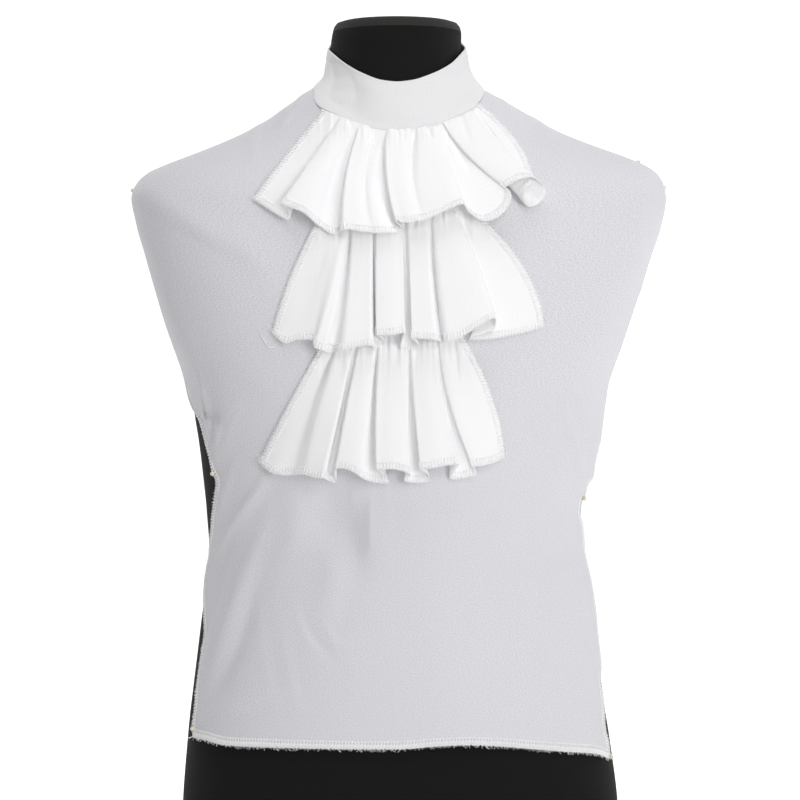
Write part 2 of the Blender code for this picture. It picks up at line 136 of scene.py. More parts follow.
def on_form(angle, z):
    """Point of the form at an angle from the front, in degrees, and a height."""
    centre, half, front, back, square = sections(z)
    s = np.sin(np.radians(angle))
    c = np.cos(np.radians(angle))
    reach = (np.abs(s) ** square + np.abs(c) ** square) ** (-1.0 / square)
    depth = np.where(c > 0, front, back)
    place = np.broadcast_arrays(centre + half * reach * s, -depth * reach * c, z)
    return np.stack(place, axis=-1)


def unit(vectors):
    return vectors / np.linalg.norm(vectors, axis=-1, keepdims=True)


def off_form(angle, z, gap):
    """Point of the form moved out along its surface normal."""
    across = on_form(angle + 0.5, z) - on_form(angle - 0.5, z)
    up = on_form(angle, z + 0.5) - on_form(angle, z - 0.5)
    return on_form(angle, z) + unit(np.cross(across, up)) * np.asarray(gap)[..., None]


def spans(points, axis):
    """Distances between neighbours in a table of points."""
    return np.linalg.norm(np.diff(points, axis=axis), axis=-1)


def shaped_grid(name, points, material):
    """Grid laid through a table of points, with a map of the flat cloth in metres."""
    rows, columns = points.shape[0] - 1, points.shape[1] - 1
    along = np.concatenate([[0.0], spans(points, 1).mean(axis=0).cumsum() * MM])
    up = np.concatenate([[0.0], spans(points, 0).mean(axis=1).cumsum() * MM])
    bm = bmesh.new()
    bmesh.ops.create_grid(bm, x_segments=columns, y_segments=rows, size=0.5)
    flat = bm.loops.layers.uv.new("cloth")
    places = {}
    for vert in bm.verts:
        i = round((vert.co.y + 0.5) * rows)
        j = round((vert.co.x + 0.5) * columns)
        places[vert] = (along[j], up[i])
        vert.co = (points[i, j] + AXIS) * MM
    for face in bm.faces:
        face.smooth = True
        for loop in face.loops:
            loop[flat].uv = places[loop.vert]
    return finished(name, bm, material)


def finished(name, bm, material):
    """Makes the mesh a piece of the scene, in one material."""
    mesh = bpy.data.meshes.new(name)
    bm.to_mesh(mesh)
    bm.free()
    mesh.materials.append(material)
    piece = bpy.data.objects.new(name, mesh)
    bpy.context.scene.collection.objects.link(piece)
    return piece


def new_node(tree, kind, **inputs):
    node = tree.nodes.new(kind)
    for key, value in inputs.items():
        node.inputs[key.replace("_", " ")].default_value = value
    return node


def maths(tree, operation, *values):
    """Output of a Math node that is fed by these sockets or numbers."""
    node = tree.nodes.new("ShaderNodeMath")
    node.operation = operation
    for socket, value in zip(node.inputs, values):
        if isinstance(value, float):
            socket.default_value = value
        else:
            tree.links.new(value, socket)
    return node.outputs[0]


SLUBS_PER_METRE = 1300.0
SLUB_STRETCH = (0.6, 1.0, 1.0)
SLUB_SHADE = 0.5


def weave_group():
    """Plain weave: crossing threads with slubs, as a height and a tone."""
    group = bpy.data.node_groups.new("plain_weave", "ShaderNodeTree")
    face = group.interface
    face.new_socket("Vector", in_out="INPUT", socket_type="NodeSocketVector")
    for name in ("Threads", "Slub"):
        face.new_socket(name, in_out="INPUT", socket_type="NodeSocketFloat")
    for name in ("Height", "Tone"):
        face.new_socket(name, in_out="OUTPUT", socket_type="NodeSocketFloat")
    given = group.nodes.new("NodeGroupInput").outputs
    result = group.nodes.new("NodeGroupOutput").inputs
    split = group.nodes.new("ShaderNodeSeparateXYZ")
    group.links.new(given["Vector"], split.inputs[0])
    warp, weft = [
        maths(group, "SINE", maths(group, "MULTIPLY", split.outputs[axis], given["Threads"]))
        for axis in ("X", "Y")
    ]
    crossing = maths(group, "MULTIPLY", warp, weft)
    stretch = new_node(group, "ShaderNodeMapping", Scale=SLUB_STRETCH)
    group.links.new(given["Vector"], stretch.inputs["Vector"])
    slubs = new_node(group, "ShaderNodeTexNoise", Scale=SLUBS_PER_METRE, Detail=1.0)
    group.links.new(stretch.outputs[0], slubs.inputs["Vector"])
    centred = maths(group, "SUBTRACT", slubs.outputs["Fac"], 0.5)
    slub = maths(group, "MULTIPLY", centred, given["Slub"])
    group.links.new(maths(group, "ADD", crossing, slub), result["Height"])
    group.links.new(maths(group, "MULTIPLY_ADD", slub, SLUB_SHADE, 1.0), result["Tone"])
    return group


PLAIN_WEAVE = weave_group()


def new_material(name, roughness):
    """Material of one roughness, with its node tree and its shader."""
    material = bpy.data.materials.new(name)
    material.use_nodes = True
    shader = material.node_tree.nodes["Principled BSDF"]
    shader.inputs["Roughness"].default_value = roughness
    return material, material.node_tree, shader


def add_bump(tree, shader, height, strength, relief):
    bump = new_node(tree, "ShaderNodeBump", Strength=strength, Distance=relief)
    tree.links.new(height, bump.inputs["Height"])
    tree.links.new(bump.outputs[0], shader.inputs["Normal"])


def cloth_material(name, colour, roughness, threads, slub, relief, sheen):
    """Woven or knitted cloth in one colour, with its weave as bump and tone."""
    material, tree, shader = new_material(name, roughness)
    shader.inputs["Sheen Weight"].default_value = sheen
    shader.inputs["Sheen Roughness"].default_value = 0.5
    shader.inputs["Specular IOR Level"].default_value = 0.15
    place = tree.nodes.new("ShaderNodeUVMap")
    place.uv_map = "cloth"
    weave = tree.nodes.new("ShaderNodeGroup")
    weave.node_tree = PLAIN_WEAVE
    weave.inputs["Threads"].default_value = threads
    weave.inputs["Slub"].default_value = slub
    tree.links.new(place.outputs[0], weave.inputs["Vector"])
    tint = tree.nodes.new("ShaderNodeMix")
    tint.data_type = "RGBA"
    tint.blend_type = "MULTIPLY"
    tint.inputs["Factor"].default_value = 1.0
    tint.inputs["A"].default_value = (*colour, 1.0)
    tree.links.new(weave.outputs["Tone"], tint.inputs["B"])
    tree.links.new(tint.outputs["Result"], shader.inputs["Base Color"])
    add_bump(tree, shader, weave.outputs["Height"], 0.5, relief)
    return material


form_jersey = cloth_material(
    "form_jersey",
    (0.0075, 0.0075, 0.0075),
    roughness=0.9, threads=9000.0, slub=2.0, relief=0.00006, sheen=0.02,
)
# lighter copy of the black jersey for the neck cap's top: a painted highlight where its rim
# catches the light from above
cap_jersey_painted_highlight = cloth_material(
    "cap_jersey_painted_highlight",
    (0.026, 0.026, 0.0245),
    roughness=0.8, threads=9000.0, slub=2.5, relief=0.00006, sheen=0.05,
)

form_heights = [SECTION_ROWS[0, 0]]
for low, high in zip(SECTION_ROWS, SECTION_ROWS[1:]):
    steps = math.ceil(math.hypot(high[0] - low[0], high[2] - low[2]) / FORM_STEP)
    form_heights += list(np.linspace(low[0], high[0], steps + 1)[1:])
form_angles = np.linspace(-180, 180, FORM_COLUMNS + 1)
dress_form = shaped_grid(
    "jersey_dress_form",
    on_form(form_angles[None, :], np.array(form_heights)[:, None]),
    form_jersey,
)
bm = bmesh.new()
bm.from_mesh(dress_form.data)
bmesh.ops.remove_doubles(bm, verts=bm.verts, dist=0.00001)
bmesh.ops.holes_fill(bm, edges=[edge for edge in bm.edges if edge.is_boundary])
bmesh.ops.recalc_face_normals(bm, faces=bm.faces)
# faces above the cap height take the lighter jersey, the painted highlight
for face in bm.faces:
    if face.calc_center_median().z > PAINTED_HIGHLIGHT_HEIGHT * MM:
        face.material_index = 1
bm.to_mesh(dress_form.data)
bm.free()
dress_form.data.materials.append(cap_jersey_painted_highlight)
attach(dress_form, "root")
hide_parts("dress_form")

# Front panel
# One layer of pale grey cotton, overlocked round and laid over the chest from just
# behind the shoulder ridges to the hem. Pins hold it at its corners and sides.
FORM_GAP = 2.7
PANEL_WALL = 1.0
PANEL_LIFT = 0.3
CLOTH = 0.6
PANEL_COLUMNS = 200
PANEL_ROWS = 220
ROW_CROWDING = 1.3
FOLD_OVERRUN = 0.35

# height, left angle, right angle
PANEL_EDGES = (
    (92, -63.0, 67.0), (109, -63.5, 66.8), (123, -64.2, 65.5), (147, -65.8, 67.2),
    (163, -66.0, 66.5), (182, -66.0, 70.5), (203, -65.2, 73.0), (220, -68.0, 75.0),
    (240, -71.5, 75.0), (255, -72.0, 75.0), (272, -70.0, 74.0), (285, -68.0, 72.2),
    (297, -64.8, 70.5), (313, -62.2, 65.5), (327, -59.8, 66.5), (341, -57.8, 71.0),
    (354, -60.0, 75.0), (372, -62.5, 77.0), (392, -64.2, 80.0), (405, -73.0, 84.0),
    (417, -81.0, 88.0), (439, -88.0, 89.0), (490, -89.0, 90.0), (555, -90.0, 90.5),
    (574, -93.0, 93.0), (587, -96.0, 96.0), (600, -97.0, 97.0), (674, -97.0, 97.0),
)

# angle, height
NECKLINE = (
    (-180, 699.1), (-135, 690.8), (-97, 679.8), (-85, 675.8), (-70, 671.3),
    (-57, 665.4), (-39, 651.6), (-32, 647.0), (-26, 642.9), (-19, 637.8),
    (-11, 633.1), (-5, 631.7), (3, 633.0), (8, 635.0), (14, 638.0),
    (22, 643.3), (31, 649.3), (41, 656.2), (50, 661.5), (62, 667.0),
    (75, 671.6), (85, 674.6), (97, 678.0), (135, 689.9), (180, 699.1),
)

# angle, height
HEM = (
    (-97, 117.1), (-62, 117.1), (-56, 116.6), (-46, 113.9), (-36, 114.2),
    (-27, 114.4), (-14, 114.4), (0, 114.6), (10, 116.9), (17, 117.5),
    (24, 116.3), (36, 112.1), (45, 108.8), (54, 105.9), (61, 102.3),
    (66, 98.6), (97, 98.6),
)

# height, how far the hanging panel stands off the front of the form
STAND_OFF = (
    (92, 4.0), (140, 5.5), (200, 7.0), (270, 6.5), (340, 3.5),
    (390, 1.0), (430, 0.0), (700, 0.0),
)

# soft ridges and troughs of the worn cloth: x and height at the start, middle and end,
# half width on the left, half width on the right, rise
PANEL_FOLDS = (
    (-107, 346, -135, 303, -152, 274, 4, 6, 2.4),
    (-140, 345, -148, 320, -154, 294, 2.5, 4, 1.6),
    (-133, 303, -150, 260, -160, 217, 4, 5, -1.6),
    (-116, 287, -139, 225, -165, 149, 7, 8, 3.4),
    (-146, 243, -157, 200, -165, 169, 3, 4, 1.4),
    (-120, 236, -138, 185, -159, 145, 6, 8, -2),
    (-147, 181, -158, 159, -167, 139, 7, 9, -1.8),
    (-119, 153, -147, 140, -171, 125, 7, 5, 2.2),
    (-84, 162, -116, 153, -142, 138, 10, 9, 1),
    (-165, 418, -161, 392, -158, 366, 1.8, 2.4, 2.2),
    (-147, 401, -152, 376, -155, 352, 3, 4, 2.4),
    (-155, 398, -156, 376, -156, 355, 2.2, 2.2, -1.6),
    (-134, 408, -142, 379, -151, 352, 5, 6, 1.4),
    (-156, 337, -156, 309, -160, 279, 2.2, 3, 1.2),
    (-173, 445, -166, 418, -160, 388, 3, 4, 0.9),
    (131, 411, 144, 362, 154, 321, 2.4, 3.2, 2.4),
    (146, 406, 157, 369, 157, 321, 2.2, 2.8, 2.5),
    (114, 396, 133, 352, 152, 323, 4, 5, 1.8),
    (100, 408, 123, 354, 149, 311, 5, 7, 1),
    (146, 316, 151, 293, 157, 267, 4, 4, 1.3),
    (160, 345, 162, 362, 168, 383, 2, 2, 1.4),
    (138, 315, 145, 285, 157, 234, 5, 6, 0.9),
    (94, 371, 123, 269, 173, 113, 9, 8, 1.3),
    (112, 363, 137, 260, 173, 131, 6, 7, 1.2),
    (125, 346, 148, 243, 171, 148, 5, 6, 1.5),
    (80, 321, 97, 237, 124, 136, 10, 9, 0.7),
    (59, 271, 72, 204, 90, 129, 10, 10, 0.5),
    (25, 321, 30, 237, 42, 138, 14, 12, 0.5),
    (164, 199, 170, 156, 174, 114, 2.5, 3, 1),
    (-60, 333, -57, 309, -52, 281, 17, 16, -5.5),
    (-40, 319, -38, 294, -35, 261, 13, 11, -4),
    (-84, 333, -86, 304, -92, 270, 12, 10, 1),
    (-25, 323, -25, 304, -25, 283, 1.8, 3, 0.7),
    (33, 421, 25, 271, 25, 121, 105, 85, 9),
    (-40, 341, -39, 324, -37, 311, 2.2, 2.6, 0.5),
    (-12, 333, -10, 314, -8, 296, 2.6, 2.6, 0.35),
    (-55, 271, -56, 250, -60, 227, 10, 12, 1.4),
    (-79, 227, -69, 204, -50, 184, 3, 4, -0.8),
    (-84, 232, -76, 207, -65, 184, 4, 4, 0.3),
    (-65, 222, -57, 209, -52, 194, 3, 4, 0.6),
    (-53, 204, -47, 199, -40, 191, 4, 4, 0.6),
    (-45, 237, -43, 224, -47, 211, 5, 5, -0.4),
    (-37, 188, -40, 174, -37, 161, 5, 5, 0.4),
    (-116, 236, -111, 186, -100, 133, 3.5, 3.5, 0.3),
    (-108, 228, -101, 178, -92, 130, 3, 3, -0.25),
    (-98, 220, -90, 179, -84, 134, 4, 4, 0.28),
    (-85, 195, -79, 162, -72, 134, 4, 4, -0.2),
    (-223, 588, -189, 563, -149, 534, 13, 12, 2.2),
    (-198, 552, -171, 524, -137, 488, 14, 12, -2),
    (-137, 542, -119, 520, -108, 496, 12, 12, 1.1),
    (-214, 523, -195, 473, -157, 432, 12, 14, 1.2),
    (-168, 464, -146, 428, -126, 405, 14, 12, -1.2),
    (-204, 532, -190, 489, -173, 445, 7, 8, 0.9),
    (-99, 637, -92, 648, -81, 658, 5, 4, 1.9),
    (-103, 645, -97, 655, -89, 664, 3, 3, -1.5),
    (-114, 645, -116, 630, -117, 615, 3, 7, -1.5),
    (-119, 641, -122, 624, -120, 607, 7, 3, 1.2),
    (-86, 655, -81, 666, -75, 673, 4, 3, 1.6),
    (76, 664, 79, 654, 83, 645, 3.5, 3.5, 1.9),
    (74, 658, 78, 646, 87, 639, 2.5, 2.5, -1.3),
    (86, 664, 91, 651, 102, 636, 4.5, 4, 1.3),
    (98, 659, 111, 637, 122, 609, 2.6, 6, -1.3),
    (104, 660, 117, 640, 129, 611, 5, 7, 1.1),
    (126, 641, 133, 634, 142, 626, 3, 4, -0.8),
    (136, 621, 152, 593, 168, 561, 12, 12, 0.9),
    (158, 618, 171, 590, 182, 561, 7, 8, -0.6),
    (204, 578, 198, 532, 188, 489, 9, 7, 1.2),
    (131, 545, 165, 521, 205, 499, 10, 9, 0.8),
    (117, 520, 154, 499, 197, 473, 9, 9, -0.6),
    (147, 497, 165, 464, 176, 430, 10, 10, 0.9),
    (168, 573, 159, 530, 144, 488, 12, 12, 0.6),
    (-196, 490, -185, 456, -174, 422, 6, 7, 0.7),
)


def panel_gap(x, z):
    """How far the inside of the panel stands off the form."""
    half = sections(z)[1]
    middle = np.clip(1 - (x / half) ** 2, 0, 1)
    gap = FORM_GAP + lookup(STAND_OFF, z) * middle
    for x0, z0, xm, zm, x1, z1, left, right, rise in PANEL_FOLDS:
        t = (z0 - z) / (z0 - z1)
        tm = (z0 - zm) / (z0 - z1)
        bend = (xm - x0 - (x1 - x0) * tm) / (tm * (tm - 1))
        ridge = x0 + (x1 - x0) * t + bend * t * (t - 1)
        slope = (x1 - x0 + bend * (2 * t - 1)) / (z0 - z1)
        aside = (x - ridge) / np.sqrt(1 + slope ** 2)
        fade = (t + FOLD_OVERRUN) * (1 + FOLD_OVERRUN - t) / (0.5 + FOLD_OVERRUN) ** 2
        fade = np.clip(fade, 0, 1) ** 2
        gap = gap + rise * fade * np.exp(-((aside / np.where(aside < 0, left, right)) ** 2))
    return np.maximum(gap, FORM_GAP)


def panel_height(angle, v):
    return lookup(HEM, angle) * (1 - v) + lookup(NECKLINE, angle) * v


def panel_points(u, v, lift):
    """Points of the panel at shares across and up it, at a lift off its inside."""
    heights, left_edge, right_edge = np.array(PANEL_EDGES).T
    left = smooth(heights, left_edge, panel_height(-90.0, v))
    right = smooth(heights, right_edge, panel_height(90.0, v))
    angle = left + (right - left) * u
    z = panel_height(angle, v)
    x = on_form(angle, z)[..., 0]
    return off_form(angle, z, panel_gap(x, z) + lift)


def add_wall(piece, thickness):
    """Gives the cloth its thickness, on its outer side."""
    wall = piece.modifiers.new("wall", "SOLIDIFY")
    wall.thickness = thickness * MM
    wall.offset = 1.0


panel_cotton = cloth_material(
    "panel_cotton",
    (0.67, 0.665, 0.698),
    roughness=0.85, threads=12000.0, slub=1.45, relief=0.000006, sheen=0.1,
)
across = np.linspace(0, 1, PANEL_COLUMNS + 1)[None, :]
upward = 1 - (1 - np.linspace(0, 1, PANEL_ROWS + 1)[:, None]) ** ROW_CROWDING
panel_grid = panel_points(across, upward, PANEL_LIFT)
panel = shaped_grid("cotton_front_panel", panel_grid, panel_cotton)
add_wall(panel, CLOTH)
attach(panel, "root")
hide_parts("front_panel")


def object_noise(tree, scale):
    place = tree.nodes.new("ShaderNodeTexCoord")
    noise = new_node(tree, "ShaderNodeTexNoise", Scale=scale, Detail=2.0)
    tree.links.new(place.outputs["Object"], noise.inputs["Vector"])
    return noise.outputs["Fac"]


def thread_material(name, colour):
    """Spun cotton thread, with its fuzz as a fine bump."""
    material, tree, shader = new_material(name, 0.85)
    shader.inputs["Base Color"].default_value = (*colour, 1.0)
    shader.inputs["Specular IOR Level"].default_value = 0.15
    add_bump(tree, shader, object_noise(tree, 4000.0), 0.4, 0.00005)
    return material


white_thread = thread_material("white_thread", (0.9, 0.9, 0.905))


def thread_piece(name, lines, radius, sides):
    """Sewing threads as one mesh, each thread a line of points."""
    data = bpy.data.curves.new(name, "CURVE")
    data.dimensions = "3D"
    data.bevel_depth = radius * MM
    data.bevel_resolution = sides // 2 - 2
    data.use_fill_caps = True
    for line in lines:
        spline = data.splines.new("POLY")
        spline.points.add(len(line) - 1)
        for point, place in zip(spline.points, line):
            point.co = (*((place + AXIS) * MM), 1.0)
    guide = bpy.data.objects.new(name, data)
    bm = bmesh.new()
    bm.from_mesh(bpy.data.meshes.new_from_object(guide))
    bpy.data.objects.remove(guide)
    bmesh.ops.remove_doubles(bm, verts=bm.verts, dist=0.000001)
    for face in bm.faces:
        face.smooth = True
    piece = finished(name, bm, white_thread)
    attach(piece, "root")
    return piece


def even_steps(line, pitch):
    """Places along a dense line at a steady pitch, as fractional positions."""
    lengths = np.concatenate([[0], spans(line, 0).cumsum()])
    count = max(2, int(lengths[-1] / pitch))
    return np.interp(np.linspace(0, lengths[-1], count), lengths, np.arange(len(line)))


def at(line, place):
    """Points at fractional positions along a line."""
    keys = np.arange(len(line))
    return np.stack([np.interp(place, keys, line[:, i]) for i in range(3)], axis=-1)


BAR_RISE = 0.35
CHAIN_RISE = 0.2
CHAIN_SWING = 0.5
LOOP_OUT = 0.2


def overlock(edge, inner, outward, pitch, legs, loop):
    """Overlock along a cloth edge: slanted bars, a chain inside and loops round the edge."""
    places = even_steps(edge, pitch)
    step = places[1] - places[0]
    bars = []
    for place in places[:-1]:
        rise = at(outward, place) * BAR_RISE
        for leg in range(legs):
            foot = at(edge, place + leg / legs * step)
            head = at(inner, place + (0.5 + 0.3 * leg / legs) * step)
            bars.append(np.array([foot - rise, foot + rise, head + rise, head - rise]))
    loops = np.arange(places[0], places[-1], step / 4)
    swing = np.cos(np.arange(len(loops)) * math.pi / 2)[:, None]
    toward = unit(at(edge, loops) - at(inner, loops))
    rise = at(outward, loops) * CHAIN_RISE
    chain = at(inner, loops) + toward * CHAIN_SWING * swing + rise
    rim = at(edge, loops) + toward * (LOOP_OUT + loop * swing) - rise
    return bars, [chain, rim]


def frayed(edge, inner, pitch, reach, dice):
    """Loose fibres that stick out from a cloth edge."""
    fibres = []
    for place in even_steps(edge, pitch):
        place += dice.uniform(-0.5, 0.5) * pitch / 2
        root = at(edge, place)
        out = unit(root - at(inner, place))
        along = at(edge, place + 1) - at(edge, place - 1)
        along /= np.linalg.norm(along) + 1e-9
        lean = dice.uniform(-0.9, 0.9)
        curl = dice.uniform(-0.6, 0.6)
        length = reach * dice.uniform(0.4, 1.0) ** 2
        front = np.array([0.0, dice.uniform(-0.5, 0.3), 0.0])
        heading = (out + along * lean + front) * length
        bend = (along * curl + front * 0.5) * length
        near = root + heading * 0.4
        far = root + heading * 0.75 + bend * 0.3
        fibres.append(np.array([root - out * 0.6, near, far, root + heading + bend * 0.8]))
    return fibres


SAMPLES = 900
PANEL_ACROSS = 430
PANEL_DOWN = 580
SIDE_WIDTH = 6.5
STITCH_PITCH = 2.7
HEM_WIDTH = 6.2
BAR_RADIUS = 0.4
CHAIN_RADIUS = 0.34
FIBRE_RADIUS = 0.12
HEM_FIBRE_RADIUS = 0.17
LONG_LOOP = 1.3
SHORT_LOOP = 0.75
FACE = PANEL_LIFT + CLOTH

# pitch and reach of the frayed fibres
SIDE_FRAY = (2.2, 3.4)
HEM_FRAY = (0.9, 3.4)

# hem rows: width, pitch, bars to a stitch
HEM_STITCHES = ((HEM_WIDTH, STITCH_PITCH, 1), (HEM_WIDTH * 0.45, 1.9, 2))

# thread left hanging at the hem's left corner: steps from the corner
LOOSE_END = ((0.0, 0.0, 0.0), (-3.0, -0.6, -1.2), (-6.5, -0.8, -1.0), (-9.5, -0.5, -2.4))

dice = random.Random(4)
fine = np.linspace(0, 1, SAMPLES)
bars = []
chains = []
fibres = []
for end, side in ((0.0, 1), (1.0, -1)):
    row = np.full(SAMPLES, end)
    edge = panel_points(row, fine, FACE)
    inner = panel_points(row + side * SIDE_WIDTH / PANEL_ACROSS, fine, FACE)
    outward = panel_points(row, fine, FACE + 1) - edge
    stitches = overlock(edge, inner, outward, STITCH_PITCH, 1, LONG_LOOP)
    bars += stitches[0]
    chains += stitches[1]
    fibres += frayed(edge, inner, *SIDE_FRAY, dice)
row = np.zeros(SAMPLES)
edge = panel_points(fine, row, FACE)
outward = panel_points(fine, row, FACE + 1) - edge
for width, pitch, legs in HEM_STITCHES:
    inner = panel_points(fine, row + width / PANEL_DOWN, FACE)
    stitches = overlock(edge, inner, outward, pitch, legs, SHORT_LOOP)
    bars += stitches[0]
    chains += stitches[1]
fibres += frayed(edge, inner, *HEM_FRAY, dice)
chains.append(edge[0] + np.array(LOOSE_END))
thread_piece("panel_overlock_bars", bars, BAR_RADIUS, 6)
thread_piece("panel_overlock_chains", chains, CHAIN_RADIUS, 6)
thread_piece("panel_frayed_fibres", fibres, HEM_FIBRE_RADIUS, 4)

# Pins
# Dressmaker's pins with small pearl heads hold the panel to the form at its shoulders,
# waist and hem corners, each pushed in through the cloth edge.
PIN_HEAD = 1.9
PIN_SHAFT = 0.35
PIN_LENGTH = 3.6
PIN_LEAN = (0.0, -0.6, 0.35)
PIN_SHOWING = 0.5
PIN_SUNK = 0.6

# side of the panel, height, distance in from its edge
PINS = (
    (0, 586.0, 4.5),
    (1, 610.0, 1.0),
    (1, 589.0, -0.6),
    (0, 341.5, 0.8),
    (1, 320.0, 0.8),
    (0, 124.0, 4.0),
    (1, 98.5, 3.0),
)


def pin_material(name, colour, roughness, metallic, coat):
    """Pearl or steel, a little cloudy in tone."""
    material, tree, shader = new_material(name, roughness)
    shader.inputs["Metallic"].default_value = metallic
    shader.inputs["Coat Weight"].default_value = coat
    tint = tree.nodes.new("ShaderNodeMix")
    tint.data_type = "RGBA"
    tint.inputs["A"].default_value = (*colour, 1.0)
    tint.inputs["B"].default_value = (*[0.8 * part for part in colour], 1.0)
    tree.links.new(object_noise(tree, 600.0), tint.inputs["Factor"])
    tree.links.new(tint.outputs["Result"], shader.inputs["Base Color"])
    return material


pearl = pin_material("pin_pearl", (0.82, 0.70, 0.52), roughness=0.25, metallic=0.0, coat=0.5)
steel = pin_material("pin_steel", (0.30, 0.29, 0.28), roughness=0.35, metallic=1.0, coat=0.0)
heads = bmesh.new()
shafts = bmesh.new()
for side, height, inset in PINS:
    share = np.full(SAMPLES, abs(side - inset / PANEL_ACROSS))
    line = panel_points(share, fine, FACE)
    above = panel_points(share, fine, FACE + 1)
    k = int(np.argmin(np.abs(line[:, 2] - height)))
    foot = Vector(line[k] + AXIS)
    out = (Vector(above[k] + AXIS) - foot).normalized()
    lean = (out + Vector(PIN_LEAN)).normalized()
    turn = lean.to_track_quat("Z", "Y").to_matrix().to_4x4()
    head = Matrix.Translation((foot + lean * (PIN_HEAD + PIN_SHOWING)) * MM) @ turn
    bmesh.ops.create_uvsphere(
        heads,
        u_segments=20,
        v_segments=12,
        radius=PIN_HEAD * MM,
        matrix=head,
    )
    bmesh.ops.create_cone(
        shafts,
        cap_ends=True,
        segments=10,
        radius1=PIN_SHAFT * MM,
        radius2=PIN_SHAFT * MM,
        depth=PIN_LENGTH * MM,
        matrix=Matrix.Translation((foot - lean * PIN_SUNK) * MM) @ turn,
    )
for face in heads.faces:
    face.smooth = True
for name, bm, material in (("pin_heads", heads, pearl), ("pin_shafts", shafts, steel)):
    piece = finished(name, bm, material)
    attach(piece, "root")

# Collar
# A double band of white cotton that stands up from the neckline seam, wider at its
# base than at its turned top edge, and laps over itself at the back.
COLLAR_ROWS = 28
COLLAR_COLUMNS = 320
COLLAR_WALL = 2.0
SEAM_GAP = 0.2
COLLAR_TOP_HALF_WIDTH = 60.2
COLLAR_TOP_CENTRE = -2.6
COLLAR_TOP_FRONT = 67.0
COLLAR_TOP_BACK = 72.0
COLLAR_OVERLAP = 16.0
COLLAR_LIFT = 1.7
LIFTED_ANGLE = 50.0
LIFT_RUN = 12.0
COLLAR_FLARE = 2.6
COLLAR_FLARE_LEFT = 2.2
COLLAR_FLARE_FRONT = 1.25
COLLAR_CLOTH = 1.5
COLLAR_FOLD = 0.68
COLLAR_STAND = 1.0
BACK_NARROWING = 4.0
SEAM_TUCK = 1.6
LAP_START = 140.0
LAP_RUN = 35.0
LAP_GAP = 0.6
TOP_BAND = 0.24
TOP_BAND_SUNK = 1.7
FOOT_BAND = 0.07
FOOT_SUNK = 0.9
NECK_ROOM = 0.8
DENT_FADE = 0.3

# soft hollows in the collar: angle and share of the height at both ends, half width in
# degrees, depth
COLLAR_DENTS = (
    (-54, 0.72, -22, 0.12, 19, 3.4),
    (-78, 0.5, -64, 0.15, 12, -1.4),
    (-12, 0.75, 2, 0.3, 14, -1.2),
    (38, 0.8, 56, 0.15, 16, 0.8),
)

# angle, height
COLLAR_EDGE = (
    (-180, 738.6), (-135, 731.6), (-90, 710.8), (-70, 703.9), (-50, 693.8),
    (-30, 683.3), (-12, 676.2), (0, 674.8), (12, 676.2), (30, 682.5),
    (50, 692.1), (70, 703.9), (90, 711.7), (135, 731.6), (180, 738.6),
)


def eased(value):
    """0 to 1 over the same range of the value, soft at both ends."""
    value = np.clip(value, 0, 1)
    return value * value * (3 - 2 * value)


def collar_points(rows, columns):
    """Grid of the collar, from its seam up to its top edge and round into the lap."""
    angle = np.linspace(-180.0, 180.0 + COLLAR_OVERLAP, columns + 1)[None, :]
    v = np.linspace(0, 1, rows + 1)[:, None]
    lap = (COLLAR_WALL + LAP_GAP) * eased((angle - LAP_START) / LAP_RUN)
    turn = (angle + 180.0) % 360.0 - 180.0
    s = np.sin(np.radians(turn))
    c = np.cos(np.radians(turn))
    over_ruffle = eased((LIFTED_ANGLE - np.abs(turn)) / LIFT_RUN)
    stand = FORM_GAP + COLLAR_STAND + COLLAR_LIFT * over_ruffle + lap
    foot = off_form(turn, lookup(NECKLINE, turn) - SEAM_TUCK, stand)
    depth = np.where(c > 0, COLLAR_TOP_FRONT, COLLAR_TOP_BACK) + lap
    rim_half = COLLAR_TOP_HALF_WIDTH - BACK_NARROWING * np.clip(-3 * c, 0, 1)
    rim_x = COLLAR_TOP_CENTRE + (rim_half + lap) * s
    rim = np.stack([rim_x, -depth * c, lookup(COLLAR_EDGE, turn)], axis=-1)
    flare = COLLAR_FLARE + COLLAR_FLARE_LEFT * np.clip(-s, 0, 1) - COLLAR_FLARE_FRONT
    share = 1 - (1 - v) ** (COLLAR_FLARE_FRONT + flare * s * s)
    share = np.stack(np.broadcast_arrays(share, share, v), axis=-1)
    points = foot * (1 - share) + rim * share
    sunk = TOP_BAND_SUNK * np.clip(1 - (1 - v) / TOP_BAND, 0, 1) ** 1.5
    sunk = sunk + FOOT_SUNK * np.clip(1 - v / FOOT_BAND, 0, 1) ** 2
    for angle0, v0, angle1, v1, width, depth in COLLAR_DENTS:
        along = np.clip((v - v0) / (v1 - v0), 0, 1)
        aside = turn - (angle0 + (angle1 - angle0) * along)
        below = np.clip(1 + (v - min(v0, v1)) / DENT_FADE, 0, 1)
        above = np.clip(1 + (max(v0, v1) - v) / DENT_FADE, 0, 1)
        sunk = sunk + depth * below * above * np.exp(-((aside / width) ** 2))
    clear = points - on_form(turn, points[..., 2])
    sunk = np.minimum(sunk, clear[..., 0] * s - clear[..., 1] * c - NECK_ROOM)
    points[..., 0] -= sunk * s
    points[..., 1] += sunk * c
    return points


collar_cotton = cloth_material(
    "collar_cotton",
    (0.768, 0.767, 0.778),
    roughness=0.8, threads=12000.0, slub=0.45, relief=0.00003, sheen=0.1,
)
collar_grid = collar_points(COLLAR_ROWS, COLLAR_COLUMNS)
collar = shaped_grid("cotton_collar", collar_grid, collar_cotton)
add_wall(collar, COLLAR_CLOTH)
turned = collar.modifiers.new("turned_edge", "BEVEL")
turned.width = COLLAR_FOLD * MM
turned.segments = 3
turned.limit_method = "ANGLE"
turned.angle_limit = math.radians(50)
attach(collar, "root")
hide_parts("collar_band")

